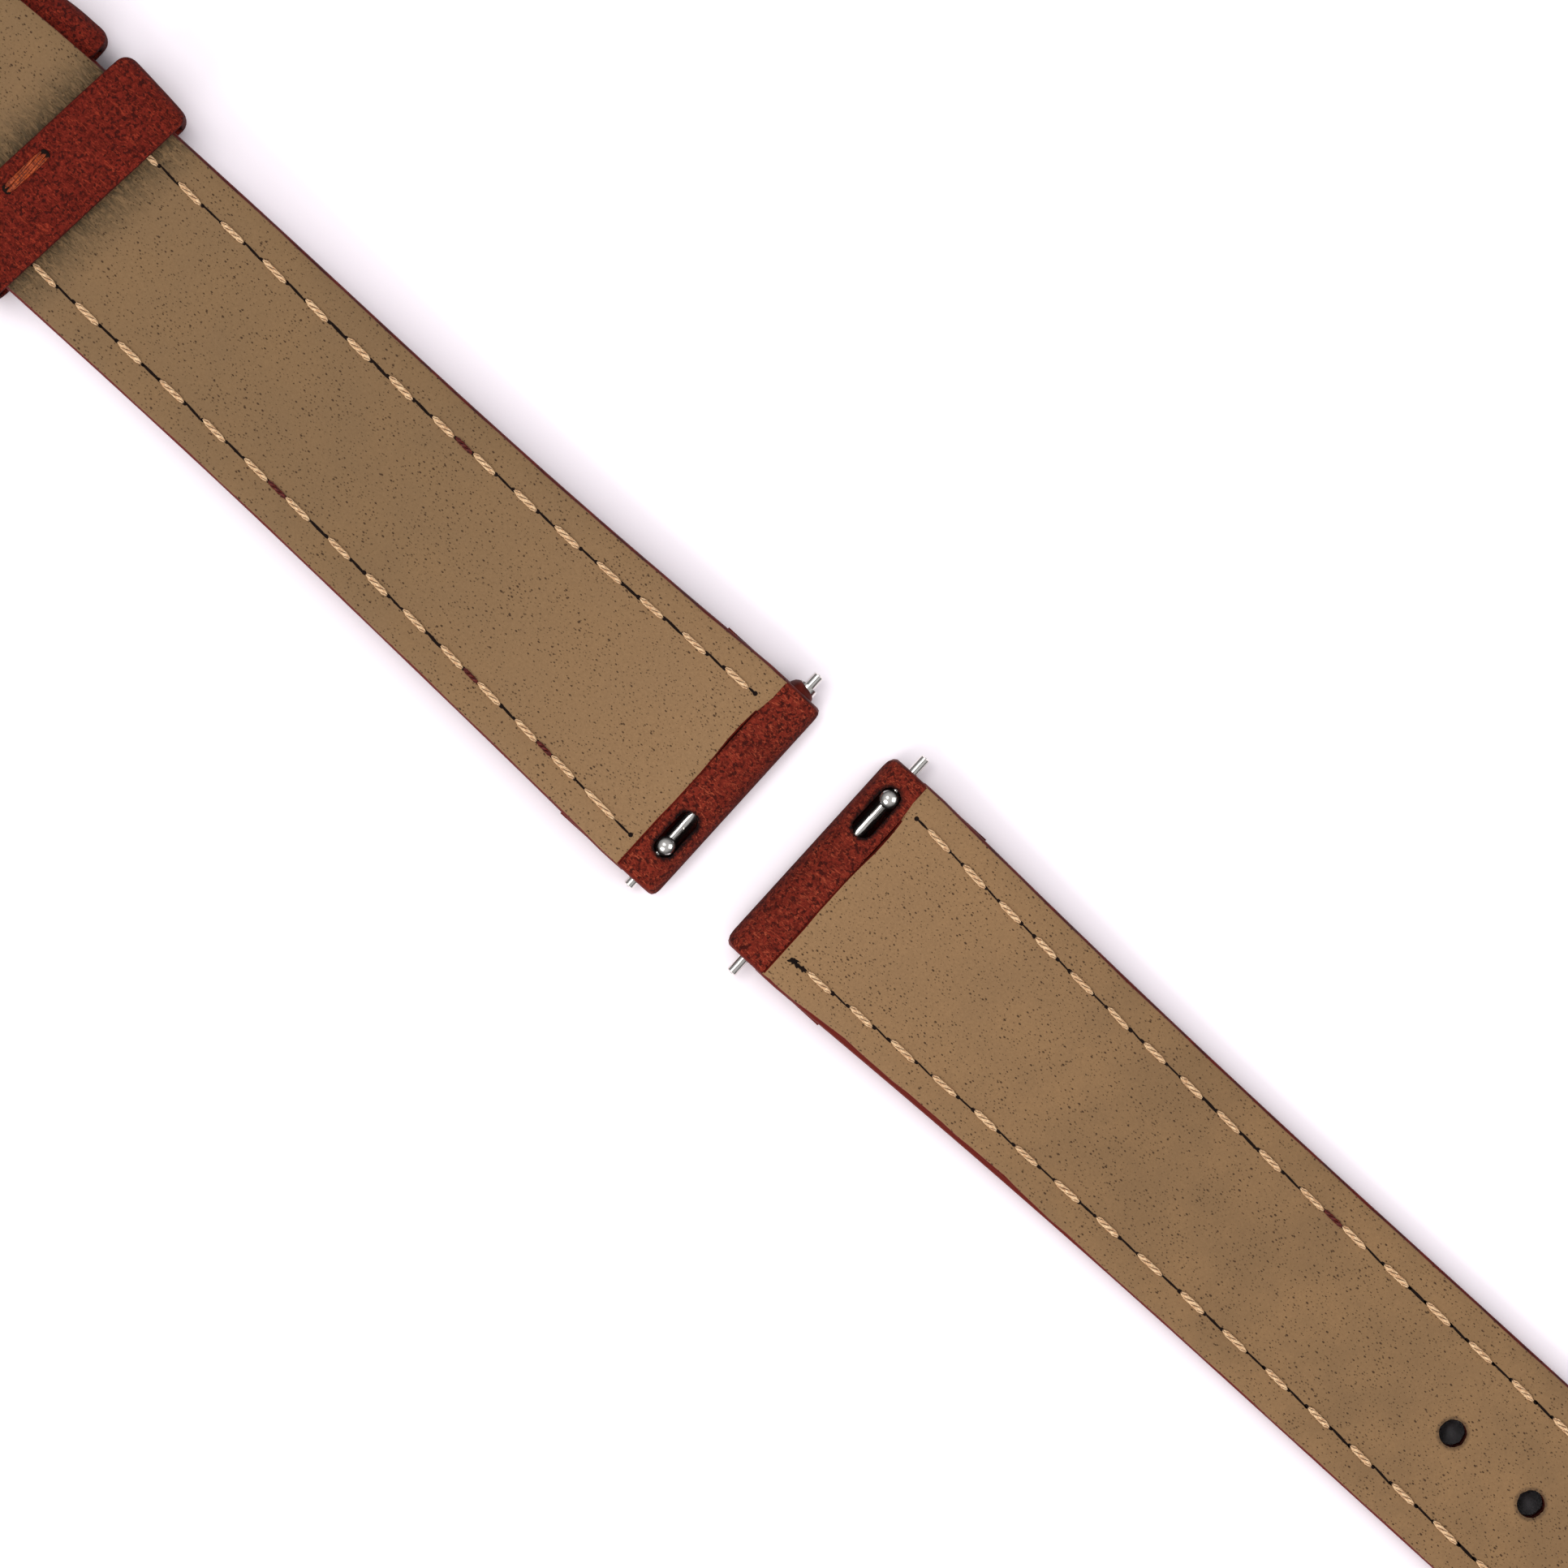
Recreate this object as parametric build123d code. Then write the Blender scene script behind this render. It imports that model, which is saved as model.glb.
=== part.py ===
from build123d import *
import math
import os

# A two-piece leather watch strap, lying lining side up, in millimetres.
# The short half carries the buckle and runs along -X, the long half has the
# holes and runs along +X. +Z points up, away from the table.
# Each half is first built along its own X, from the outermost point of its lug
# end, with Z = 0 on its outer face, and is then laid in its place.

os.makedirs("parts", exist_ok=True)

# Strap widths and lengths
lug_width = 18.0
buckle_width = 16.2
widening_start = 5.0
widening_end = 46.0
short_reach = 80.0
long_reach = 120.8
tip_run = 14.8
tip_radius = 3.6
corner_radius = 0.6

# Leather plies
outer_ply = 1.1
lining_ply = 0.7
buckle_ply = 0.7
long_end_thickness = 2.4
edge_bevel = 0.45

# Turned ends: the outer leather goes round a bar and back under the lining
bar_diameter = 1.5
bar_play = 0.05
fold_band = 3.5
flap_reach = 9.0
buckle_fold_band = 2.6
buckle_flap_reach = 4.7
flap_edge = 0.15
flap_step = 0.35
glue_gap = 0.1
skive_run = 2.5

# Holes and the cut for the tang
hole_diameter = 2.0
first_hole = 62.1
hole_pitch = 7.5
hole_margin = 13.5
tang_cut_width = 3.4
tang_cut_run = 2.4

# Stitching
row_inset = 2.5
row_start = 4.3
row_end_margin = 12.0
stitch_length = 2.6
stitch_width = 0.5
stitch_height = 0.2
stitch_taper = 0.6
stitch_seat = 0.01
near_pitches = {"short_left": 3.7, "short_right": 3.92, "long_left": 3.6, "long_right": 3.85}
first_stitches = {"short_left": 7.4, "short_right": 6.2, "long_left": 6.5, "long_right": 7.0}
far_pitch = 4.06
pitch_change = 33.0
groove_width = 0.8
groove_depth = 0.25

# Quick-release bar in each lug end
tube_length = 17.8
tube_bore = 1.2
tube_end_wall = 0.35
tip_reach = 1.47
short_fixed_tip_reach = 1.1
tip_diameter = 0.8
tip_chamfer = 0.1
sliding_play = 0.03
plug_length = 3.25
plunger_length = 6.4
spring_wire = 0.2
spring_play = 0.09
spring_turns = 8
spring_steps = 10
spring_sides = 5
knob_place = 6.4
knob_diameter = 1.43
knob_rise = 0.38
knob_rim = 0.25
knob_proud = 0.15
stem_diameter = 0.5
stem_play = 0.03
release_travel = 1.6
leather_slot_width = 1.6
slot_past_knob = 1.05
slots_behind_knob = {"short": 3.05, "long": 3.5}
bar_shifts = {"short": -0.78, "long": 0.02}

# Buckle, its own bar and its tang
frame_gap = 0.2
arm_width = 2.0
arm_thickness = 1.8
ear_diameter = 3.2
frame_reach = 12.3
crossbar_run = 2.5
frame_rise = 2.6
frame_corner = 3.2
window_corner = 1.4
frame_round = 0.45
tang_notch_width = 2.6
tang_notch_depth = 0.45
ear_hole_depth = 1.1
buckle_tip_engagement = 0.9
buckle_tip_diameter = 0.8
buckle_tip_body = 2.4
buckle_spring_turns = 10
tang_width = 2.2
tang_tip_width = 1.5
tang_thickness = 0.95
tang_eye_wall = 0.55
tang_overhang = 0.4
tang_seat = 0.03

# Keepers
keeper_width = 6.2
keeper_spacing = 7.1
keeper_leather = 1.0
keeper_side_gap = 0.57
keeper_top_gap = 0.4
keeper_skew = -5.0
keeper_outer_round = 1.2
keeper_inner_round = 0.3
keeper_corner = 0.9
keeper_seam = 0.12
keeper_seam_place = 0.9
keeper_thread_length = 3.7
keeper_thread_width = 0.6
keeper_thread_height = 0.25
keeper_thread_margin = 1.3
fixed_keeper_width = 7.0
fixed_keeper_margin = 3.4
fixed_keeper_side_gap = 0.8
fixed_keeper_gap = 2.6
fixed_keeper_tail = 4.5

# How the two halves lie
lug_gap = 5.8
long_half_offset = 1.13
floor_gap = 0.02
cut_overrun = 6.0

bar_radius = bar_diameter / 2
loop_bore = bar_radius + bar_play
lug_loop = loop_bore + outer_ply
buckle_loop = loop_bore + buckle_ply
lug_thickness = 2 * lug_loop
short_end_thickness = 2 * buckle_loop
short_length = short_reach + buckle_loop
half_lug = lug_width / 2
half_buckle = buckle_width / 2
tip_start = long_reach - tip_run
hole_count = int((long_reach - hole_margin - first_hole) / hole_pitch) + 1
fixed_keeper_place = short_reach - fixed_keeper_margin - fixed_keeper_width
keeper_place = fixed_keeper_place - keeper_spacing


def edge_place(place, reach):
    """Half the strap's width at a distance from the lug end, with the point of the long half."""
    if reach == long_reach and place > tip_start:
        return half_buckle - tip_arc + math.sqrt(tip_arc**2 - (place - tip_start) ** 2)
    if place >= widening_end:
        return half_buckle
    if place <= widening_start:
        return half_lug
    return half_buckle + side_arc - math.sqrt(side_arc**2 - (widening_end - place) ** 2)


def tangent_radius(run, rise):
    """Radius of an arc that leaves a straight edge and is off it by rise after run."""
    return (run**2 + rise**2) / (2 * rise)


side_arc = tangent_radius(widening_end - widening_start, half_lug - half_buckle)
tip_arc = tangent_radius(long_reach - tip_start, half_buckle)


def plan_face(reach, end):
    """The half's outline seen from above."""
    middle = (widening_start + widening_end) / 2
    edges = [
        Line((0, 0), (0, half_lug)),
        Line((0, half_lug), (widening_start, half_lug)),
        ThreePointArc(
            (widening_start, half_lug),
            (middle, edge_place(middle, reach)),
            (widening_end, half_buckle),
        ),
    ]
    if reach == long_reach:
        tip_middle = (tip_start + end) / 2
        edges += [
            Line((widening_end, half_buckle), (tip_start, half_buckle)),
            ThreePointArc(
                (tip_start, half_buckle), (tip_middle, edge_place(tip_middle, reach)), (end, 0)
            ),
        ]
    else:
        edges += [
            Line((widening_end, half_buckle), (end, half_buckle)),
            Line((end, half_buckle), (end, 0)),
        ]
    side = make_face(edges + [Line((end, 0), (0, 0))])
    whole = side + mirror(side, Plane.XZ)
    whole = fillet(whole.vertices().group_by(Axis.X)[0], corner_radius)
    far = whole.vertices().group_by(Axis.X)[-1]
    return fillet(far, tip_radius if reach == long_reach else corner_radius)


def across(profile):
    """A side profile, drawn with the strap's Z upwards, stretched over its whole width."""
    return Rot(90, 0, 0) * extrude(profile, half_lug + cut_overrun, both=True)


def upright(outline, low, high):
    return extrude(Pos(0, 0, low) * outline, high - low)


def round_rod(radius, start, end):
    """A rod along Y between two places."""
    return Pos(0, (start + end) / 2, 0) * Rot(90, 0, 0) * Cylinder(radius, end - start)


def lining_height(place, thickness):
    """Height of the lining's face: it falls along a parabola until the width stays even."""
    if place >= widening_end:
        return thickness
    share = (widening_end - place) / (widening_end - fold_band)
    return thickness + (lug_thickness - thickness) * share**2


def below_lining(thickness, end, lowering):
    """Side area under a line that runs a given depth under the lining's face."""
    start = (fold_band, lug_thickness - lowering)
    middle = ((fold_band + widening_end) / 2, thickness - lowering)
    level = (widening_end, thickness - lowering)
    return make_face(
        [
            Bezier(start, middle, level),
            Line(level, (end, thickness - lowering)),
            Line((end, thickness - lowering), (end, -cut_overrun)),
            Line((end, -cut_overrun), (fold_band, -cut_overrun)),
            Line((fold_band, -cut_overrun), start),
        ]
    )


def area(*points):
    return make_face(Polyline(*points, close=True))


def turned_flap(ply, fold_thickness, band, reach, under):
    """Side area of a flap from its bar to its thin edge, under the fold band and the lining."""
    loop = loop_bore + ply
    top = fold_thickness + cut_overrun
    return [
        (loop, fold_thickness - ply),
        (band, fold_thickness - lining_ply - flap_step),
        (reach, under - lining_ply - flap_edge),
        (reach, top),
        (loop, top),
    ]


def half_profiles(reach, thickness):
    """Side areas of the outer leather, the filler and the lining of one half."""
    short = reach == short_reach
    end = short_length if short else reach
    whole = below_lining(thickness, end, 0) + Pos(fold_band / 2, 0) * Rectangle(
        fold_band, 2 * lug_thickness
    )
    whole &= area((0, 0), (end, 0), (end, lug_thickness), (0, lug_thickness))
    whole -= area((0, 0), (lug_loop, 0), (lug_loop, lug_thickness), (0, lug_thickness))
    whole += Pos(lug_loop, lug_loop) * Circle(lug_loop)
    layer_end = end
    lining_end = end
    inner_line = [(0, -cut_overrun), (0, outer_ply), (end, outer_ply), (end, -cut_overrun)]
    if short:
        whole -= area(
            (reach, 0), (end, 0), (end, short_end_thickness), (reach, short_end_thickness)
        )
        whole += Pos(reach, buckle_loop) * Circle(buckle_loop)
        layer_end = reach - loop_bore - glue_gap
        lining_end = end - buckle_fold_band
        inner_line = [
            (0, -cut_overrun),
            (0, outer_ply),
            (layer_end - skive_run, outer_ply),
            (layer_end, buckle_ply),
            (end, buckle_ply),
            (end, -cut_overrun),
        ]
    lining = whole - below_lining(thickness, end, lining_ply)
    lining &= area(
        (fold_band, 0), (lining_end, 0), (lining_end, lug_thickness), (fold_band, lug_thickness)
    )
    lug_side = area((0, 0), (lug_loop, 0), (lug_loop, lug_thickness), (0, lug_thickness))
    leather = area(*inner_line) + lug_side
    under = lining_height(flap_reach, thickness)
    leather += area(*turned_flap(outer_ply, lug_thickness, fold_band, flap_reach, under))
    lug_hollow = Pos(lug_loop, lug_loop) * Circle(loop_bore)
    leather -= lug_hollow
    if short:
        leather += area(
            (reach, 0), (end, 0), (end, short_end_thickness), (reach, short_end_thickness)
        )
        flap = turned_flap(
            buckle_ply, short_end_thickness, buckle_fold_band, buckle_flap_reach, thickness
        )
        leather += area(*[(end - x, z) for x, z in flap])
        leather -= Pos(reach, buckle_loop) * Circle(loop_bore)
    leather = (leather & whole) - lining
    layer_start = lug_loop + loop_bore + glue_gap
    middle = area(
        (layer_start, 0), (layer_end, 0), (layer_end, lug_thickness), (layer_start, lug_thickness)
    )
    filler = (middle & whole) - leather - lining
    return {"outer_leather": leather, "filler": filler, "lining": lining}


def stitch():
    """One stitch: a flat bundle of thread with tapered ends, seated on Z = 0."""
    half = stitch_length / 2
    flank = half - stitch_taper
    side = stitch_width / 2
    outline = [(-half, 0), (-flank, -side), (flank, -side), (half, 0), (flank, side), (-flank, side)]
    return extrude(area(*outline), stitch_height)


def row_place(place, reach):
    """Distance of a stitch row from the centre line, a fixed inset within the edge."""
    if reach == long_reach and place > tip_start:
        inner = tip_arc - row_inset
        return half_buckle - tip_arc + math.sqrt(inner**2 - (place - tip_start) ** 2)
    return edge_place(place, reach) - row_inset


def row_places(name, reach):
    """Where a row's stitches lie, closer together near the lug end, then evenly spaced."""
    last = short_reach - row_end_margin if reach == short_reach else long_reach - 2 * tip_radius
    place = first_stitches[name]
    places = []
    while place < last - stitch_length / 2:
        rise = row_place(place + stitch_width, reach) - row_place(place - stitch_width, reach)
        turn = math.atan2(rise, 2 * stitch_width)
        places.append((place, row_place(place, reach), turn))
        pitch = near_pitches[name] if place < pitch_change else far_pitch
        place += pitch * math.cos(turn)
    return places


def stitch_rows(name, reach, thickness):
    """The stitches of one row, on the lining and in the groove of the outer face."""
    side = 1 if name.endswith("left") else -1
    shown, hidden = [], []
    for place, off, turn in row_places(name, reach):
        flat = Pos(place, side * off) * Rot(0, 0, math.degrees(side * turn))
        fall = lining_height(place - stitch_width, thickness)
        fall -= lining_height(place + stitch_width, thickness)
        lean = math.degrees(math.atan2(fall, 2 * stitch_width))
        rise = lining_height(place, thickness) + stitch_seat
        shown.append((Pos(0, 0, rise) * flat * Rot(0, lean, 0) * stitch()).solid())
        sunk = groove_depth - stitch_height - stitch_seat
        hidden.append((Pos(0, 0, sunk) * flat * stitch()).solid())
    return Compound(shown), Compound(hidden)


def groove_tool(plan, reach):
    """The pressed line along the edge of the outer face that the stitches lie in."""
    ring = offset(plan, -row_inset + groove_width / 2)
    ring -= offset(plan, -row_inset - groove_width / 2)
    end = short_reach - row_end_margin if reach == short_reach else long_reach
    ring &= Pos((row_start + end) / 2, 0) * Rectangle(end - row_start, lug_width)
    return upright(ring, -cut_overrun, groove_depth)


def strap_half(name, reach, thickness):
    """The three leather layers and the stitch rows of one half."""
    end = short_length if reach == short_reach else reach
    plan = plan_face(reach, end)
    block = upright(plan, 0, lug_thickness + cut_overrun)
    block = chamfer(block.faces().sort_by(Axis.Z)[0].edges(), edge_bevel)
    layers = {
        f"{name}_{part}": across(profile) & block
        for part, profile in half_profiles(reach, thickness).items()
    }
    layers[f"{name}_outer_leather"] -= groove_tool(plan, reach)
    slot_end = knob_place + bar_shifts[name] + slot_past_knob
    slot_run = slot_past_knob + slots_behind_knob[name]
    slot = Rot(0, 0, 90) * SlotOverall(slot_run, leather_slot_width)
    slot = Pos(lug_loop, slot_end - slot_run / 2) * slot
    layers[f"{name}_outer_leather"] -= upright(slot, lug_loop, lug_thickness + cut_overrun)
    for side in ("left", "right"):
        shown, hidden = stitch_rows(f"{name}_{side}", reach, thickness)
        layers[f"{name}_{side}_lining_stitches"] = shown
        layers[f"{name}_{side}_outer_stitches"] = hidden
    return layers


def coil_points(radius, length, turns):
    """Points along a coil about Y, from zero to its length."""
    points = []
    for step in range(turns * spring_steps + 1):
        turn = math.tau * step / spring_steps
        rise = length * step / (turns * spring_steps)
        points.append((radius * math.cos(turn), rise, radius * math.sin(turn)))
    return points


def spring(wire, radius, length, turns):
    """A coil spring along Y from zero, one unbroken tube with open ends."""
    line = Polyline(*coil_points(radius, length, turns))
    section = Plane(origin=line @ 0, z_dir=line % 0) * RegularPolygon(wire / 2, spring_sides)
    return sweep(section, path=line, transition=Transition.RIGHT)


def turn_gap(wire, radius, length, turns):
    """Least gap of a coil to itself, on its points that lie half a turn or more apart."""
    points = coil_points(radius, length, turns)
    gaps = [
        math.dist(point, other) - wire
        for number, point in enumerate(points)
        for other in points[number + spring_steps // 2:]
    ]
    return min(gaps)


def shoulder(wide, narrow, start):
    """A cone along Y as long as the tube's rolled-in end."""
    return Pos(0, start + tube_end_wall / 2, 0) * Rot(-90, 0, 0) * Cone(wide, narrow, tube_end_wall)


def sprung_tip(body_start, tube_end, pin_radius, tip_end):
    """A sliding tip: a body in the tube, a shoulder that its rolled end holds, and a pin."""
    body_radius = tube_bore / 2 - sliding_play
    body_end = tube_end - tube_end_wall - floor_gap
    pin = round_rod(pin_radius, body_end + tube_end_wall, tip_end)
    pin = chamfer(pin.edges().sort_by(Axis.Y)[-1], tip_chamfer)
    body = round_rod(body_radius, body_start, body_end)
    return body + shoulder(body_radius, pin_radius, body_end) + pin


spring_radius = tube_bore / 2 - spring_play - spring_wire / 2


def release_bar(name, fixed_reach):
    """A quick-release bar along Y: tube, pressed tip, spring, and plunger with its knob."""
    half = tube_length / 2
    bore = tube_bore / 2
    tip = tip_diameter / 2
    stem = stem_diameter / 2
    tube = round_rod(bar_radius, -half, half)
    tube -= round_rod(bore, -half - cut_overrun, half - tube_end_wall)
    tube -= shoulder(bore, tip + sliding_play, half - tube_end_wall)
    slot_start = knob_place - release_travel - stem - stem_play
    slot_end = knob_place + stem + stem_play
    slot = Rot(0, 0, 90) * SlotOverall(slot_end - slot_start, 2 * (stem + stem_play))
    slot = Pos(0, (slot_start + slot_end) / 2) * slot
    tube -= upright(slot, 0, bar_radius + cut_overrun)
    plug = round_rod(bore, -half, plug_length - half)
    pin = round_rod(tip, -half - fixed_reach, -half)
    plug += chamfer(pin.edges().sort_by(Axis.Y)[0], tip_chamfer)
    body_start = half - tube_end_wall - floor_gap - plunger_length
    plunger = sprung_tip(body_start, half, tip, half + tip_reach)
    cap_base = lug_loop + knob_proud - knob_rise
    knob = Pos(0, knob_place, cap_base / 2) * Cylinder(stem, cap_base)
    cap_radius = tangent_radius(knob_diameter / 2, knob_rise)
    cap = Pos(0, knob_place, cap_base + knob_rise - cap_radius) * Sphere(cap_radius)
    cap &= Pos(0, knob_place, cap_base + knob_rise / 2) * Cylinder(knob_diameter / 2, knob_rise)
    rim = Pos(0, knob_place, cap_base - knob_rim / 2) * Cylinder(knob_diameter / 2, knob_rim)
    knob += rim + cap
    plunger -= Pos(0, knob_place, bore) * Cylinder(stem, 2 * bore)
    coil_start = plug_length - half + stitch_seat
    coil = Pos(0, coil_start, 0) * spring(
        spring_wire, spring_radius, body_start - coil_start - spring_wire, spring_turns
    )
    parts = {
        f"{name}_bar_tube": tube,
        f"{name}_bar_fixed_tip": plug,
        f"{name}_bar_spring": coil,
        f"{name}_release_plunger": plunger,
        f"{name}_release_knob": knob,
    }
    place = Pos(lug_loop, bar_shifts[name], lug_loop)
    return {node: place * part for node, part in parts.items()}


def buckle_bar():
    """The buckle's own bar: a tube with a sprung tip at each end, and the spring between."""
    half = half_buckle
    bore = tube_bore / 2
    tip = buckle_tip_diameter / 2
    rolled_end = shoulder(bore, tip + sliding_play, half - tube_end_wall)
    tube = round_rod(bar_radius, -half, half)
    tube -= round_rod(bore, tube_end_wall - half, half - tube_end_wall)
    tube -= rolled_end + mirror(rolled_end, Plane.XZ)
    body_start = half - tube_end_wall - floor_gap - buckle_tip_body
    tip_end = half + frame_gap + buckle_tip_engagement
    sliding = sprung_tip(body_start, half, tip, tip_end)
    length = 2 * (body_start - spring_wire)
    coil = Pos(0, -length / 2, 0) * spring(spring_wire, spring_radius, length, buckle_spring_turns)
    return {
        "buckle_bar_tube": tube,
        "buckle_bar_left_tip": sliding,
        "buckle_bar_right_tip": mirror(sliding, Plane.XZ),
        "buckle_bar_spring": coil,
    }


frame_inside = half_buckle + frame_gap
frame_arc = tangent_radius(frame_reach - crossbar_run / 2, frame_rise)


def arc_band(top, bottom, end):
    """Side area between two arcs about the centre of the frame's curve, out to an end."""
    ring = Circle(frame_arc - bottom) - Circle(frame_arc - top)
    half = Pos(end / 2, -frame_arc) * Rectangle(end, 2 * frame_arc)
    return Pos(0, frame_arc) * (ring & half)


def buckle_frame():
    """The U-shaped frame, from the bar at the origin along X, curved up towards the wrist."""
    side = arc_band(arm_thickness / 2, -arm_thickness / 2, frame_reach)
    side = fillet(side.vertices().group_by(Axis.X)[-1], frame_round)
    side += Circle(ear_diameter / 2)
    outer = frame_inside + arm_width
    start = -ear_diameter / 2
    plan = Pos((start + frame_reach) / 2, 0) * Rectangle(frame_reach - start, 2 * outer)
    plan = fillet(plan.vertices().group_by(Axis.X)[-1], frame_corner)
    window_end = frame_reach - crossbar_run
    window = Pos((window_end - cut_overrun) / 2, 0) * Rectangle(
        window_end + cut_overrun, 2 * frame_inside
    )
    window = fillet(window.vertices().group_by(Axis.X)[-1], window_corner)
    frame = across(side) & upright(plan - window, -frame_reach, frame_reach)
    bed = arc_band(tang_notch_depth - arm_thickness / 2, -frame_rise, frame_reach + cut_overrun)
    frame -= Rot(90, 0, 0) * extrude(bed, tang_notch_width / 2, both=True)
    hole = frame_inside + ear_hole_depth
    frame -= round_rod(buckle_tip_diameter / 2 + sliding_play, -hole, hole)
    return frame


tang_top = tang_notch_depth - arm_thickness / 2 - tang_seat
tang_bottom = tang_top - tang_thickness
tang_end = frame_reach + tang_overhang


def buckle_tang():
    """The tang: an eye round the bar and a blade that follows the frame's curve to its bed."""
    side = arc_band(tang_top, tang_bottom, tang_end) + Circle(loop_bore + tang_eye_wall)
    side -= Circle(loop_bore)
    root = tang_width / 2
    tip = tang_tip_width / 2
    start = -loop_bore - tang_eye_wall
    plan = area(
        (start, -root), (frame_reach / 2, -root), (tang_end, -tip),
        (tang_end, tip), (frame_reach / 2, root), (start, root),
    )
    plan = fillet(plan.vertices().group_by(Axis.X)[-1], tip / 2)
    return across(side) & upright(plan, -frame_reach, frame_reach)


def keeper_band(outside, bottom, top, ply, width):
    """A leather band round the strap, with its length along X centred on zero."""
    middle = Pos(0, (bottom + top) / 2)
    height = top - bottom
    ring = RectangleRounded(2 * outside, height, keeper_outer_round)
    ring -= RectangleRounded(2 * (outside - ply), height - 2 * ply, keeper_inner_round)
    band = extrude(Plane.YZ * (middle * ring), width / 2, both=True)
    return band & upright(RectangleRounded(width, 2 * outside, keeper_corner), bottom, top)


fixed_keeper_ply = short_end_thickness - outer_ply - lining_ply
fixed_keeper_middle = fixed_keeper_place + fixed_keeper_width / 2


def fixed_keeper():
    """The fixed keeper: under the outer face, up both sides, and in between the plies."""
    outside = half_buckle + fixed_keeper_side_gap + fixed_keeper_ply
    bottom = -fixed_keeper_gap - fixed_keeper_ply
    top = outer_ply + fixed_keeper_ply
    band = keeper_band(outside, bottom, top, fixed_keeper_ply, fixed_keeper_width)
    tail = half_buckle - fixed_keeper_tail
    band -= Pos(0, 0, top) * Box(fixed_keeper_width, 2 * tail, 2 * fixed_keeper_ply + keeper_inner_round)
    return Pos(fixed_keeper_middle, 0, 0) * band


def keeper_pocket():
    """Room in the filler for the fixed keeper's two tails."""
    run = fixed_keeper_width
    span = fixed_keeper_tail + glue_gap
    place = half_buckle - span / 2
    block = Box(run, span, 2 * short_end_thickness)
    return Pos(fixed_keeper_middle, place, 0) * block + Pos(fixed_keeper_middle, -place, 0) * block


# The short half leans so that its fixed keeper rests on the table
lean_run = fixed_keeper_place - lug_loop
lean_drop = fixed_keeper_gap + fixed_keeper_ply + lug_loop
lean = math.atan2(lean_drop, lean_run) - math.asin(lug_loop / math.hypot(lean_run, lean_drop))


def height_on_table(place, rise):
    """Height above the table of a point of the leaning short half."""
    return lug_loop + (place - lug_loop) * math.sin(lean) + (rise - lug_loop) * math.cos(lean)


def floating_keeper():
    """The floating keeper, askew on the strap, and the stitch over its butted ends."""
    outside = half_buckle + keeper_side_gap + keeper_leather
    middle = keeper_place + keeper_width / 2
    turn = math.radians(abs(keeper_skew))
    low_corner = middle - keeper_width / 2 * math.cos(turn) - outside * math.sin(turn)
    bottom = (floor_gap - height_on_table(low_corner, 0)) / math.cos(lean)
    top = short_end_thickness + keeper_top_gap + keeper_leather
    band = keeper_band(outside, bottom, top, keeper_leather, keeper_width)
    seam = Box(keeper_width + cut_overrun, keeper_seam, 2 * keeper_leather + keeper_seam)
    band -= Pos(0, keeper_seam_place, top) * seam
    half = keeper_thread_length / 2
    side = keeper_thread_width / 2
    taper = stitch_taper
    thread = extrude(
        area((-side, taper - half), (0, -half), (side, taper - half), (side, half - taper),
             (0, half), (-side, half - taper)),
        keeper_thread_height,
    )
    thread_place = keeper_width / 2 - keeper_thread_margin
    thread = Pos(thread_place, keeper_seam_place, top + stitch_seat) * thread
    place = Pos(middle, 0, 0) * Rot(0, 0, keeper_skew)
    return {"floating_keeper": place * band, "floating_keeper_stitch": place * thread}


short = strap_half("short", short_reach, short_end_thickness)
long = strap_half("long", long_reach, long_end_thickness)

# The short half: the keeper's tails, the cut for the tang, and what it carries
short["short_filler"] -= keeper_pocket()
cut_end = short_length + cut_overrun
cut_start = short_reach - tang_cut_run
tang_cut = Pos((cut_start + cut_end) / 2, 0) * SlotOverall(cut_end - cut_start, tang_cut_width)
for layer in ("outer_leather", "filler", "lining"):
    short[f"short_{layer}"] -= upright(tang_cut, -cut_overrun, cut_overrun)
short["fixed_keeper"] = fixed_keeper()
short |= floating_keeper()
short |= release_bar("short", short_fixed_tip_reach)
short |= {node: Pos(short_reach, 0, buckle_loop) * part for node, part in buckle_bar().items()}

# The long half: the row of holes and its bar
last_hole = first_hole + (hole_count - 1) * hole_pitch
for number in range(hole_count):
    hole = Pos(first_hole + number * hole_pitch, 0) * Circle(hole_diameter / 2)
    for layer in ("outer_leather", "filler", "lining"):
        long[f"long_{layer}"] -= upright(hole, -cut_overrun, cut_overrun)
long |= release_bar("long", tip_reach)

# Laid on the table: the long half flat, the short half leaning, the buckle hanging to the table
lay_long = Pos(lug_gap / 2, long_half_offset, 0)
lay_short = Pos(-lug_gap / 2 - lug_loop, 0, lug_loop) * Rot(0, 0, 180)
lay_short *= Rot(0, -math.degrees(lean), 0) * Pos(-lug_loop, 0, -lug_loop)
bar_height = height_on_table(short_reach, buckle_loop)
tang_rise = frame_arc - math.sqrt((frame_arc - tang_bottom) ** 2 - tang_end**2)
tang_run = math.hypot(tang_end, tang_rise)
swing = math.asin((bar_height - floor_gap) / tang_run) + math.atan2(tang_rise, tang_end)
bar_place = lay_short * Pos(short_reach, 0, buckle_loop)
lay_buckle = Pos(bar_place.position) * Rot(0, 0, 180) * Rot(0, math.degrees(swing), 0)
laid = {node: lay_short * part for node, part in short.items()}
laid |= {node: lay_long * part for node, part in long.items()}
laid |= {"buckle_frame": lay_buckle * buckle_frame(), "buckle_tang": lay_buckle * buckle_tang()}

# The origin is under the middle of the whole strap's box, on the table
box = Compound(list(laid.values())).bounding_box()
centre = box.center()
home = Pos(-centre.X, -centre.Y, -box.min.Z)
for node, part in laid.items():
    export_step(home * part, f"parts/{node}.step")

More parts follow.
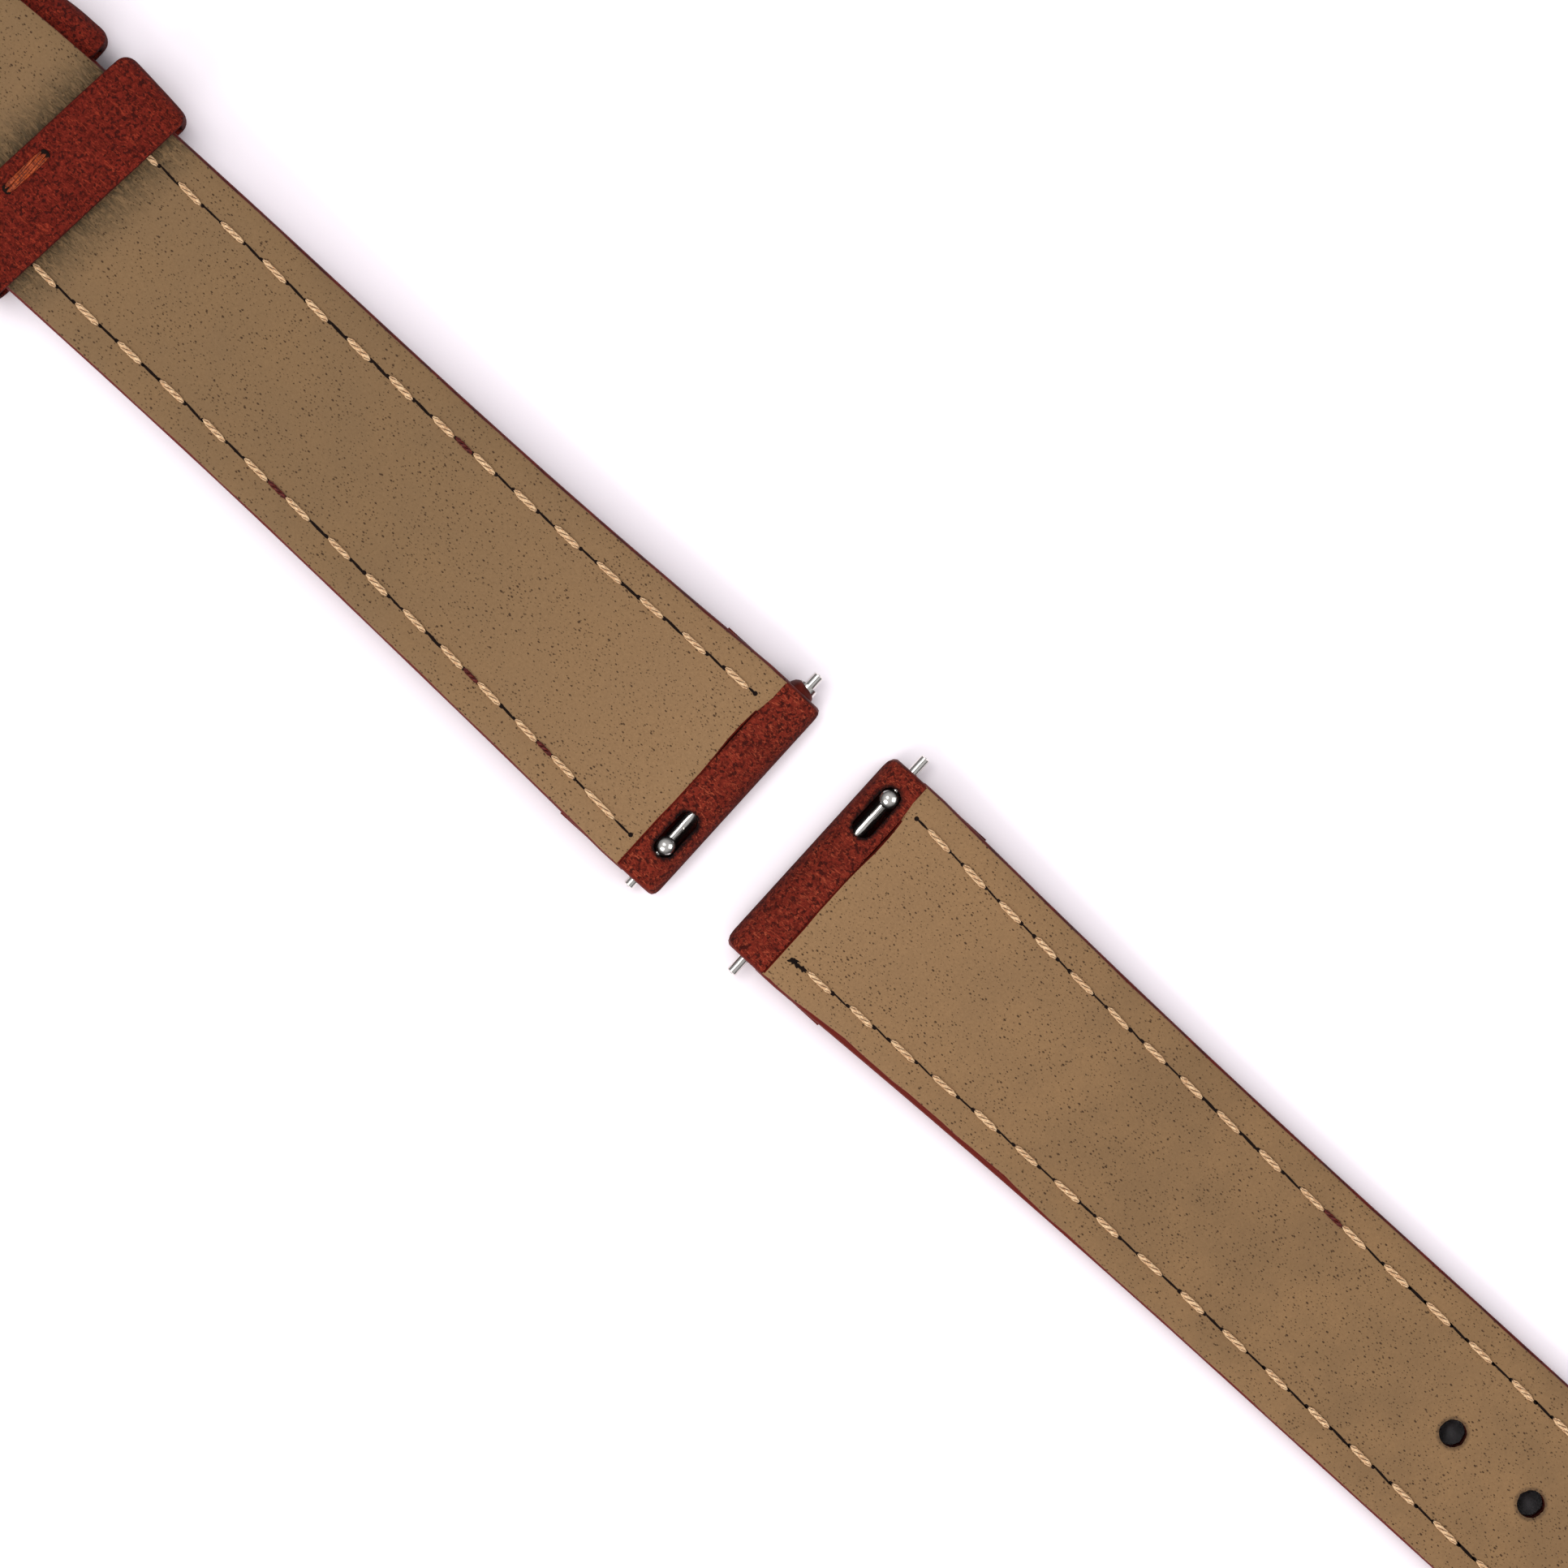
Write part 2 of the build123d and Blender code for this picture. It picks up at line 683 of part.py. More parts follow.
print("side arc radius", round(side_arc, 1), "tip arc radius", round(tip_arc, 2))
print("lean of the short half", round(math.degrees(lean), 3), "degrees")
print("swing of the buckle", round(math.degrees(swing), 2), "degrees")
print("box", [round(c, 3) for c in box.size], "lowest point", round(box.min.Z, 4))
release_room = tube_length - tube_end_wall - plunger_length - plug_length - floor_gap
least_gap = turn_gap(spring_wire, spring_radius, release_room, spring_turns)
print("least gap between turns", round(least_gap, 3))
for name, place in (("short lug bar", home * lay_short * Pos(lug_loop, 0, lug_loop)),
                    ("buckle bar", home * bar_place),
                    ("long lug bar", home * lay_long * Pos(lug_loop, 0, lug_loop))):
    print(name, [round(c, 3) for c in place.position])
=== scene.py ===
# %% [markdown]
# # A two-piece leather watch strap
# The strap lies lining side up. A watch strap is a sandwich: an outer leather, a filler, and a
# lining, glued, sewn near both edges, and sealed with edge paint. The outer leather is turned
# round a thin steel bar at the watch end, and round the buckle's bar at the other end.
# The steel parts come from the CAD model and only get their finish here. Every soft part is
# modelled again, in the place where the CAD has it, with the detail that leather really has.

# %% Load the model that was packed
import math
import random

import bmesh
import bpy
from mathutils import Matrix, Vector


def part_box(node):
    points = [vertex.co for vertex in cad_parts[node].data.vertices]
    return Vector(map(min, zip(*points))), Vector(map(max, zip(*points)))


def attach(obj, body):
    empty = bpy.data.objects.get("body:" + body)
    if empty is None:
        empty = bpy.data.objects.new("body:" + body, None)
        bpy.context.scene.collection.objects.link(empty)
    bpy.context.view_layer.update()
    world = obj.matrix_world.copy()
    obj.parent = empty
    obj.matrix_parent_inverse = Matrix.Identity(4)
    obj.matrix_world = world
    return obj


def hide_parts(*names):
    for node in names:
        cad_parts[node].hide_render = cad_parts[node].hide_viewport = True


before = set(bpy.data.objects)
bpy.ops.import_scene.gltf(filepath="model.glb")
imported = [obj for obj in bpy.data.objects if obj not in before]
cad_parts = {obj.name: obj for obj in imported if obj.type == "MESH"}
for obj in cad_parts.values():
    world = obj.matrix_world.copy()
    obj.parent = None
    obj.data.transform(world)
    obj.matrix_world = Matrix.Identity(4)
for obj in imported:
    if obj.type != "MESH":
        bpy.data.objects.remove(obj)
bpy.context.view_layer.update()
mm = 0.001

# %% [markdown]
# ## The camera
# The strap was looked at from straight above. A long lens from over half a metre keeps its
# edges parallel, as a product picture does. The camera is turned in its own plane, so that the
# strap runs from the top left to the bottom right.

# %% Camera straight above, turned
view_centre = Vector((-15.356, 2.705, 3.0)) * mm
view_width = 111.7 * mm
camera_height = 600 * mm
sensor = 36.0
strap_across, strap_down = 0.740, 0.6726
camera_data = bpy.data.cameras.new("camera")
camera_data.sensor_width = sensor
camera_data.lens = sensor * camera_height / view_width
camera_data.clip_start = 0.01
camera = bpy.data.objects.new("camera", camera_data)
camera.location = view_centre + Vector((0, 0, camera_height))
camera.rotation_euler = (0, 0, math.atan2(strap_down, strap_across))
bpy.context.scene.collection.objects.link(camera)
bpy.context.scene.camera = camera
print("lens", round(camera_data.lens, 1), "mm")

# %% [markdown]
# ## Colours and a kit for finishes
# Leather, thread, edge paint, steel and the table get their looks from node materials. Colours
# are written as they look on a screen. All patterns read object coordinates, in metres, so a
# noise scale of 4000 makes grains a quarter of a millimetre wide. Each finish is a recipe: a
# base colour, and coats over it, each where its own pattern says.

# %% Screen colours
def tint(red, green, blue):
    """A screen colour from 0 to 255 as the linear colour that the renderer mixes."""
    screen = (red, green, blue)
    return tuple(((c / 255 + 0.055) / 1.055) ** 2.4 if c > 10 else c / 3294 for c in screen) + (1,)


print("lining olive in linear light:", [round(c, 3) for c in tint(147, 118, 82)])

# %% Node helpers
class Recipe:
    """The nodes of one material, or of the sky, in the order in which they are mixed."""

    def __init__(self, name, world=False, **uniform):
        self.owner = bpy.data.worlds.new(name) if world else bpy.data.materials.new(name)
        self.owner.use_nodes = True
        self.nodes, self.links = self.owner.node_tree.nodes, self.owner.node_tree.links
        self.shader = self.nodes["Background" if world else "Principled BSDF"]
        for socket, value in uniform.items():
            self.shader.inputs[socket.replace("_", " ")].default_value = value
        self.place = self.node("ShaderNodeTexCoord").outputs["Generated" if world else "Object"]

    def node(self, kind, inputs=(), **settings):
        """Add a node. Each input is a number or colour, or another node's output."""
        made = self.nodes.new(kind)
        for key, value in settings.items():
            setattr(made, key, value)
        for socket, value in dict(inputs).items():
            if isinstance(value, bpy.types.NodeSocket):
                self.links.new(value, made.inputs[socket])
            else:
                made.inputs[socket].default_value = value
        return made

    def axis(self, name):
        """One coordinate of the place, in metres."""
        return self.node("ShaderNodeSeparateXYZ", {0: self.place}).outputs[name]

    def turned(self, turn=0, stretch=(1, 1, 1), shift=(0, 0, 0)):
        """Object coordinates, turned about Z and stretched, for a pattern with a direction."""
        settings = {"Vector": self.place, "Rotation": (0, 0, math.radians(turn)),
                    "Scale": stretch, "Location": shift}
        return self.node("ShaderNodeMapping", settings).outputs[0]

    def noise(self, scale, detail=3, rough=0.5, where=None, distort=0):
        settings = {"Vector": where or self.place, "Scale": scale, "Detail": detail,
                    "Roughness": rough, "Distortion": distort}
        return self.node("ShaderNodeTexNoise", settings).outputs["Fac"]

    def ramp(self, value, low, high, start=0.0, end=1.0):
        """Stretch a value between two limits to the range from start to end."""
        settings = {"Value": value, "From Min": low, "From Max": high, "To Min": start, "To Max": end}
        return self.node("ShaderNodeMapRange", settings).outputs["Result"]

    def maths(self, operation, *values):
        return self.node("ShaderNodeMath", enumerate(values), operation=operation).outputs[0]

    def chain(self, operation, first, *others):
        for other in others:
            first = self.maths(operation, first, other)
        return first

    def times(self, *values):
        return self.chain("MULTIPLY", *values)

    def plus(self, *values):
        return self.chain("ADD", *values)

    def vector(self, operation, *values):
        return self.node("ShaderNodeVectorMath", enumerate(values), operation=operation).outputs

    def mix(self, share, first, second):
        return self.node("ShaderNodeMix", {0: share, 6: first, 7: second}, data_type="RGBA").outputs[2]

    def coats(self, base, *layers):
        """A base colour under coats, each given as where it lies and its colour."""
        for where, colour in layers:
            base = self.mix(where, base, colour)
        return base

    def bump(self, height, depth, strength=1.0):
        settings = {"Height": height, "Distance": depth * mm, "Strength": strength}
        return self.node("ShaderNodeBump", settings).outputs["Normal"]

    def near_slot(self, centre, half_run, inner, outer):
        """One inside a slot's rim, falling to zero around it. Sizes are in mm."""
        away = self.place
        for operation, value in (("SUBTRACT", Vector(centre) * mm), ("ABSOLUTE", (0, 0, 0)),
                                 ("SUBTRACT", (0, half_run * mm, 1)), ("MAXIMUM", (0, 0, 0))):
            away = self.vector(operation, away, value)[0]
        return self.ramp(self.vector("LENGTH", away)["Value"], inner * mm, outer * mm, 1, 0)

    def done(self, colour=None, roughness=None, normal=None):
        for socket, value in (("Base Color", colour), ("Roughness", roughness), ("Normal", normal)):
            if value is not None:
                self.links.new(value, self.shader.inputs[socket])
        return self.owner


print("a recipe holds", [k for k in vars(Recipe) if not k.startswith("_")])

# %% [markdown]
# ## Working by hand
# Every piece starts from a simple shape. Then its points are chosen, moved, scaled, cut or
# drawn out in edit mode. These helpers name the few moves that come back in every step.

# %% Helpers: begin, choose, move
def begin(add, name, **settings):
    """Add a primitive as an object of its own."""
    bpy.ops.object.select_all(action="DESELECT")
    add(**settings)
    bpy.context.object.name = name
    return bpy.context.object


def settle(piece, size=(1, 1, 1)):
    """Scale an object, and put its place, turn and size into its mesh."""
    piece.scale = size
    bpy.ops.object.transform_apply(location=True, rotation=True, scale=True)
    return piece


def take(piece):
    """Select one object only and make it the active one."""
    bpy.ops.object.select_all(action="DESELECT")
    piece.select_set(True)
    bpy.context.view_layer.objects.active = piece


def edit():
    bpy.ops.object.mode_set(mode="EDIT")
    everything()


def leave():
    bpy.ops.object.mode_set(mode="OBJECT")


def everything():
    bpy.ops.mesh.select_all(action="SELECT")


def choose(piece, wanted, kind="verts"):
    """In edit mode, select only the points, edges or faces that a test picks."""
    mode = {"verts": "VERT", "edges": "EDGE", "faces": "FACE"}[kind]
    bpy.ops.mesh.select_mode(type=mode)
    bpy.ops.mesh.select_all(action="DESELECT")
    mesh = bmesh.from_edit_mesh(piece.data)
    for item in getattr(mesh, kind):
        if wanted(item):
            item.select_set(True)
    mesh.select_flush_mode()
    bmesh.update_edit_mesh(piece.data)


def move(x=0, y=0, z=0):
    """Move what is chosen, in mm."""
    bpy.ops.transform.translate(value=(x * mm, y * mm, z * mm))


def scale(x, y, z, centre=(0, 0, 0)):
    """Scale what is chosen about a centre in metres."""
    bpy.ops.transform.resize(value=(x, y, z), center_override=centre)


def finish_with(piece, kind, name, **settings):
    """Add one modifier, set it, and apply it."""
    take(piece)
    step = piece.modifiers.new(name, kind)
    for key, value in settings.items():
        setattr(step, key, value)
    bpy.ops.object.modifier_apply(modifier=name)


def close_up(piece, angle=40):
    """Merge doubles, turn all faces outwards, and shade the piece smooth by angle."""
    if bpy.context.mode != "EDIT_MESH":
        take(piece)
        bpy.ops.object.mode_set(mode="EDIT")
    bpy.ops.mesh.select_mode(type="VERT")
    everything()
    bpy.ops.mesh.remove_doubles(threshold=0.002 * mm)
    bpy.ops.mesh.normals_make_consistent(inside=False)
    mesh = bmesh.from_edit_mesh(piece.data)
    open_edges = sum(1 for edge in mesh.edges if not edge.is_manifold)
    leave()
    take(piece)
    bpy.ops.object.shade_smooth_by_angle(angle=math.radians(angle))
    print(piece.name, len(piece.data.polygons), "faces,", open_edges, "open edges")


print("helpers: begin, settle, take, edit, choose, move, scale, finish_with, close_up")

# %% [markdown]
# ## The table and the light
# The background is a plain, nearly white sheet, so overexposed in the picture that only soft,
# faintly lilac shadows are left of it. For camera and glossy rays the sheet has a painted glow where it is
# open to the sky, which lightens its shadows, and under the punched holes painted shade makes it black.
# Three soft windows light the strap: a strong one low on one side, a weak one across from it and
# a small one above. An even sky fills the shadows. The steel mirrors an open sky with a darker
# room low round the table, which gives round bars their dark lines.

# %% Table top
table = begin(bpy.ops.mesh.primitive_plane_add, "table_top", size=3, location=(0, 0, -0.01 * mm))
paper = Recipe("pale table", Roughness=0.7)
openness = paper.node("ShaderNodeAmbientOcclusion", {"Distance": 5 * mm}, samples=8).outputs["AO"]
# painted glow: for camera and glossy rays the sheet glows a little where it is open to the sky, which
# paints light into its shadows away from the strap
ray = paper.node("ShaderNodeLightPath").outputs
seen = paper.maths("MAXIMUM", ray["Is Camera Ray"], ray["Is Glossy Ray"])
painted_glow_settings = {"Color": (1, 0.92, 1, 1), "Strength": paper.times(seen, paper.ramp(openness, 0.4, 0.9, 0, 0.44))}
painted_glow = paper.node("ShaderNodeEmission", painted_glow_settings)
# painted shade: deep inside a hole the sheet's colour turns dark, on the strip of table that the row of
# holes passes over
row_middle, row_reach, row_from = 0.52 * mm, 1.5 * mm, 45 * mm
beside_row = paper.maths("COMPARE", paper.axis("Y"), row_middle, row_reach)
under_row = paper.times(beside_row, paper.maths("GREATER_THAN", paper.axis("X"), row_from))
painted_hole_shade = paper.maths("SUBTRACT", 1.0, paper.ramp(openness, 0.16, 0.38, 0.01, 1))
unshaded_share = paper.maths("SUBTRACT", 1.0, paper.times(under_row, painted_hole_shade))
sheet = {0: tint(255, 249, 254)[:3], "Scale": unshaded_share}
paper.done(paper.node("ShaderNodeVectorMath", sheet, operation="SCALE").outputs[0])
both = paper.node("ShaderNodeAddShader", {0: paper.shader.outputs[0], 1: painted_glow.outputs[0]})
paper.links.new(both.outputs[0], paper.nodes["Material Output"].inputs["Surface"])
table.data.materials.append(paper.owner)
print("table", [round(c, 2) for c in table.dimensions], "m")

# %% Sky and lamps
sky = Recipe("even sky", world=True, Color=(1, 0.985, 1, 1))
bpy.context.scene.world = sky.owner
even_strength = 0.42
mirrored = {0: sky.node("ShaderNodeLightPath").outputs["Is Glossy Ray"],
            2: even_strength, 3: sky.ramp(sky.axis("Z"), 0.25, 0.7, 0.09, 0.5)}
sky.links.new(sky.node("ShaderNodeMix", mirrored).outputs[0], sky.shader.inputs["Strength"])


def lamp(name, place, size, power, colour=(1, 1, 1)):
    """A square soft lamp that looks at the middle of the strap."""
    data = bpy.data.lights.new(name, "AREA")
    data.shape = "SQUARE"
    data.size = size
    data.energy = power
    data.color = colour
    light = bpy.data.objects.new(name, data)
    light.location = place
    light.rotation_euler = (view_centre - light.location).to_track_quat("-Z", "Y").to_euler()
    bpy.context.scene.collection.objects.link(light)


lamp("window_left", Vector((-0.05, -0.7, 0.72)), 0.45, 4.4, (1, 0.985, 0.97))
lamp("window_right", Vector((0.62, 0.42, 0.62)), 0.6, 2.2)
lamp("window_over", Vector((-0.3, 0.02, 0.92)), 0.3, 1.5)
bpy.context.scene.view_settings.view_transform = "Standard"

# %% [markdown]
# ## How the two halves lie
# Each half is modelled on its own, from the outermost point of its watch end along X, with its
# outer face on Z = 0. The long half then lies flat. The short half is turned round and leans a
# little, because its fixed keeper stands under it.

# %% Sizes that both halves share
lug_loop = 1.9
lug_thickness = 3.8
fold_band = 3.5
flap_reach = 9.0
outer_ply = 1.1
lining_ply = 0.7
half_lug = 9.0
half_buckle = 8.1
widening = (5.0, 46.0)
short_reach = 80.0
end_thickness = {"long": 2.4, "short": 3.0}
tip_start = 106.0
tip_reach = 120.8
tip_end = 119.87
# past this place the point is rounded off with a small radius
point_start, point_radius, point_centre = 118.92, 3.6, 116.27
side_run, side_step = widening[1] - widening[0], half_lug - half_buckle
side_arc = (side_run**2 + side_step**2) / (2 * side_step)
tip_arc = ((tip_reach - tip_start) ** 2 + half_buckle**2) / (2 * half_buckle)


def half_width(place, half):
    """Half the strap's width at a distance from its watch end."""
    if half == "long" and place > point_start:
        return math.sqrt(max(point_radius**2 - (place - point_centre) ** 2, 0.01))
    if half == "long" and place > tip_start:
        return half_buckle - tip_arc + math.sqrt(tip_arc**2 - (place - tip_start) ** 2)
    if place >= widening[1]:
        return half_buckle
    if place <= widening[0]:
        return half_lug
    return half_buckle + side_arc - math.sqrt(side_arc**2 - (widening[1] - place) ** 2)


def lining_height(place, half):
    """Height of the lining's face, thickest at the bar."""
    if place >= widening[1]:
        return end_thickness[half]
    share = (widening[1] - place) / (widening[1] - fold_band)
    return end_thickness[half] + (lug_thickness - end_thickness[half]) * share**2


print("half width at 5, 30, 60 and 118 mm:", [round(half_width(s, "long"), 2) for s in (5, 30, 60, 118)])

# %% Where each half is laid
lean_run, lean_drop = 67.7, 5.7
lean = math.atan2(lean_drop, lean_run) - math.asin(lug_loop / math.hypot(lean_run, lean_drop))
lay_short = Matrix.Translation(Vector((-18.709, -0.61, lug_loop)) * mm)
lay_short @= Matrix.Rotation(math.pi, 4, "Z") @ Matrix.Rotation(-lean, 4, "Y")
lay_short @= Matrix.Translation(Vector((-lug_loop, 0, -lug_loop)) * mm)
lay = {"long": Matrix.Translation(Vector((-11.009, 0.52, 0)) * mm), "short": lay_short}


def put(piece, half):
    """Lay a piece of one half in its place, with that place in its mesh."""
    take(piece)
    piece.matrix_world = lay[half]
    bpy.ops.object.transform_apply(location=True, rotation=True, scale=True)


print("the short half leans", round(math.degrees(lean), 2), "degrees")

# %% [markdown]
# ### Outer leather
# The outer side is nubuck: its grain is sanded to a short nap, so light and dark fibres lie in
# all directions and the dye takes unevenly. Over a dark base lie a middle red-brown by a fine
# noise, light fibres in two directions, dark pits between them, and broad darker patches. The
# keepers were cut from a darker, closer part of the hide.

# %% Nubuck
burnt_slots = (((-9.109, 5.62, 0), 1.38), ((-18.603, -5.135, 0), 1.155))


def nubuck(name, dark, middle, light):
    leather = Recipe(name, Specular_IOR_Level=0.12)
    nap = leather.noise(3000, 5, 0.7, None, 0.9)
    left = leather.noise(3900, 2, 0.5, leather.turned(35, (0.4, 1.5, 1)), 1.6)
    right = leather.noise(3700, 2, 0.5, leather.turned(-40, (0.4, 1.6, 1), (0.01, 0.02, 0)), 1.6)
    fibres = leather.maths("MAXIMUM", left, right)
    pits = leather.noise(3600, 2, 0.5, leather.turned(10, (1, 1, 1), (0.03, 0, 0)))
    patches = leather.noise(380, 3, 0.55)
    # where the leather turns away from the lining side it is darker: partly real burnishing, partly
    # painted shade on the sloping faces
    normal = leather.node("ShaderNodeNewGeometry").outputs["Normal"]
    slope = leather.node("ShaderNodeSeparateXYZ", {0: normal}).outputs["Z"]
    turned_away = leather.ramp(leather.maths("ABSOLUTE", slope), 0.75, 0.15, 0, 0.75)
    # the slots were cut with heat, so their rims are black
    rims = leather.maths("MAXIMUM", *[leather.near_slot(*slot, 0.86, 1.16) for slot in burnt_slots])
    lining_side = leather.ramp(leather.axis("Z"), 2.0 * mm, 2.6 * mm)
    burnt = leather.times(rims, lining_side, leather.ramp(nap, 0.25, 0.6, 1.3, 0.75))
    colour = leather.coats(
        dark,
        (leather.ramp(nap, 0.40, 0.57), middle),
        (leather.ramp(fibres, 0.58, 0.69, 0, 0.8), light),
        (leather.ramp(pits, 0.55, 0.62, 0, 0.88), tint(56, 16, 13)),
        (leather.ramp(patches, 0.35, 0.7, 0.28, 0), dark),
        (turned_away, tint(62, 20, 18)),
        (burnt, tint(16, 10, 10)),
    )
    relief = leather.bump(leather.plus(nap, leather.times(fibres, 0.5)), 0.16, 0.9)
    return leather.done(colour, leather.ramp(nap, 0.3, 0.7, 0.95, 0.8), relief)


outer_nubuck = nubuck("red-brown nubuck", tint(86, 25, 18), tint(140, 47, 32), tint(192, 88, 60))
keeper_nubuck = nubuck("darker keeper nubuck", tint(78, 20, 13), tint(130, 39, 27), tint(172, 64, 42))
print(outer_nubuck.name, len(outer_nubuck.node_tree.nodes), "nodes")

# %% [markdown]
# ### Lining leather
# The lining is a smooth, undyed calf with an olive cast. It shows its hair pores: fine dark
# pricks, close together in some places and rare in others. A pore is the dark middle of a flat
# cell, and each cell has a size of its own.

# %% Hair pores
lining = Recipe("olive calf lining", Specular_IOR_Level=0.2)


def pore_layer(cell_scale, turn, shift, widest):
    """Dark pricks of many sizes, one to a flat cell, drawn out in one direction."""
    where = lining.turned(turn, (1, 1.7, 1), (shift, 2 * shift, 0))
    settings = {"Vector": where, "Scale": cell_scale}
    flat = lining.node("ShaderNodeTexVoronoi", settings, voronoi_dimensions="2D")
    each = lining.node("ShaderNodeSeparateColor", {"Color": flat.outputs["Color"]}).outputs["Red"]
    crowd = lining.ramp(lining.noise(420, 2, 0.6), 0.32, 0.62, 0.62, 1.15)
    size = lining.times(lining.ramp(each, 0.15, 1.0, -0.03, widest), crowd)
    return lining.ramp(lining.maths("SUBTRACT", flat.outputs["Distance"], size), -0.03, 0.04, 1, 0)


fine_pores = lining.times(pore_layer(2700, 65, 0.013, 0.2), 0.75)
pricks = lining.maths("MAXIMUM", pore_layer(1500, 20, 0.0, 0.15), fine_pores)
print("pores about every", round(1 / 2.7, 2), "mm")

# %% [markdown]
# The lining is a little greener on the short half. Near the watch it is painted paler, as painted light
# where it faces the light. It is grey and wrinkled on both sides of the floating keeper, which rubs it,
# and dark round the punched holes.

# %% Tones of the lining
tone = lining.noise(230, 3, 0.55)
grain = lining.noise(5200, 3, 0.62)
green_half = lining.ramp(lining.axis("X"), -17 * mm, -13 * mm, 0.55, 0)
# painted light: the lining is lighter towards the gap between the halves, where it faces the light
from_gap = lining.maths("ABSOLUTE", lining.plus(lining.axis("X"), 14 * mm))
painted_light_near_gap = lining.ramp(from_gap, 34 * mm, 4 * mm, 0, 0.85)
# the keeper lies 81.9 mm out, askew by five degrees
keeper_turn = math.radians(5)
keeper_run = (-math.cos(keeper_turn), math.sin(keeper_turn), 0)
along_strap = lining.vector("DOT_PRODUCT", lining.place, keeper_run)["Value"]
from_keeper = lining.maths("ABSOLUTE", lining.maths("SUBTRACT", along_strap, 81.944 * mm))
wrinkles = lining.noise(1900, 3, 0.6, lining.turned(0, (0.6, 1.9, 1)), 1.5)
rubbed = lining.times(
    lining.ramp(from_keeper, 3.4 * mm, 6.4 * mm, 1, 0),
    lining.ramp(from_keeper, 1.4 * mm, 3.3 * mm, 0.3, 1),
    lining.ramp(wrinkles, 0.38, 0.6, 0.15, 1),
)
# one ring round each hole: the distance along the row is wrapped at half the holes' pitch
past_first = lining.maths("SUBTRACT", lining.axis("X"), 51.091 * mm)
hole_along = lining.maths("WRAP", past_first, 3.75 * mm, -3.75 * mm)
hole_across = lining.maths("SUBTRACT", lining.axis("Y"), row_middle)
squares = lining.plus(lining.times(hole_along, hole_along), lining.times(hole_across, hole_across))
ring = lining.times(
    lining.ramp(lining.maths("SQRT", squares), 1.1 * mm, 1.3 * mm, 1, 0),
    lining.ramp(lining.axis("X"), 48 * mm, 48.5 * mm),
    lining.ramp(lining.axis("X"), 98.5 * mm, 98 * mm),
)
calf = lining.coats(
    tint(138, 107, 73),
    (lining.ramp(tone, 0.35, 0.65), tint(151, 117, 80)),
    (green_half, tint(134, 107, 75)),
    (painted_light_near_gap, tint(163, 127, 89)),
    (lining.ramp(grain, 0.3, 0.72, 0.0, 0.38), tint(118, 90, 60)),
    (lining.times(pricks, 0.9), tint(62, 40, 22)),
    (lining.times(rubbed, 0.85), tint(66, 56, 38)),
    (lining.times(ring, lining.ramp(grain, 0.3, 0.7, 0.35, 0.8)), tint(66, 48, 34)),
)
soft_folds = lining.noise(900, 3, 0.6, lining.turned(25, (0.7, 1.3, 1)), 0.8)
height = lining.plus(
    lining.maths("SUBTRACT", grain, pricks),
    lining.times(soft_folds, 1.4),
    lining.times(ring, -0.5),
    lining.times(rubbed, wrinkles, 3.5),
)
calf_lining = lining.done(calf, lining.ramp(tone, 0.3, 0.7, 0.55, 0.7), lining.bump(height, 0.03, 0.8))
print(calf_lining.name, len(calf_lining.node_tree.nodes), "nodes")

# %% [markdown]
# ### Edge paint, thread and dark needle slits
# Edge paint is a thick, waxy, dark brown coat, rubbed smooth, with a soft gloss. It is redder on
# the side where it has worn. The lining's thread is cream and the outer one is dyed like the
# leather. Both are waxed and twisted. The modelled plies show the twist, so their material only
# adds the fibres and paints shade into the hollows between the plies.

# %% Edge paint and threads
paint = Recipe("edge paint", Specular_IOR_Level=0.08)
paint_drift = paint.noise(900, 3, 0.6)
paint_colour = paint.coats(
    tint(64, 18, 12),
    (paint.ramp(paint_drift, 0.35, 0.68), tint(106, 33, 23)),
    (paint.ramp(paint.axis("Y"), 3 * mm, -3 * mm, 0, 0.9), tint(106, 30, 20)),
)
brushed = paint.bump(paint.noise(1600, 3), 0.05, 0.5)
edge_paint = paint.done(paint_colour, paint.ramp(paint_drift, 0.3, 0.7, 0.38, 0.55), brushed)


def thread(name, dark, light, fibre=9000, sheen=0.2):
    made = Recipe(name, Sheen_Weight=sheen, Specular_IOR_Level=0.3)
    strands = made.noise(fibre, 2, 0.6, made.turned(38, (0.35, 1.6, 1)))
    between = made.node("ShaderNodeAttribute", attribute_name="ply_groove").outputs["Fac"]
    # painted shade: the hollows between the plies get a near-black shade colour
    shadow = tuple(c * 0.22 for c in dark[:3]) + (1,)
    colour = made.coats(
        dark,
        (made.ramp(strands, 0.36, 0.62), light),
        (made.ramp(between, 0.25, 0.9, 0, 0.95), shadow),
    )
    return made.done(colour, made.ramp(strands, 0.3, 0.7, 0.62, 0.5), made.bump(strands, 0.03, 0.8))


cream_thread = thread("waxed cream thread", tint(206, 154, 108), tint(255, 220, 174))
red_thread = thread("waxed red-brown thread", tint(70, 16, 12), tint(110, 32, 24), 9000, 0)
keeper_cord = thread("thick orange-brown thread", tint(104, 34, 12), tint(190, 84, 36), 6000, 0)
# painted shade: slits and holes are near-black leaves; the melted knot's real dark marks use this colour
# too
needle_slit = Recipe("needle slit", Specular_IOR_Level=0.1)
slit_noise = needle_slit.noise(3000, 2)
slit_colour = needle_slit.mix(slit_noise, tint(14, 9, 8), tint(34, 22, 18))
slit_shade_and_melt = needle_slit.done(slit_colour, needle_slit.ramp(slit_noise, 0, 1, 0.8, 0.95))
print("threads:", cream_thread.name, red_thread.name, keeper_cord.name)

# %% [markdown]
# ### Steel
# The quick-release bar is a drawn tube, so its marks run along it. The knob and the tips are
# turned and polished. The buckle is brushed along its frame. The finish of each steel piece
# follows from the last word of its name.

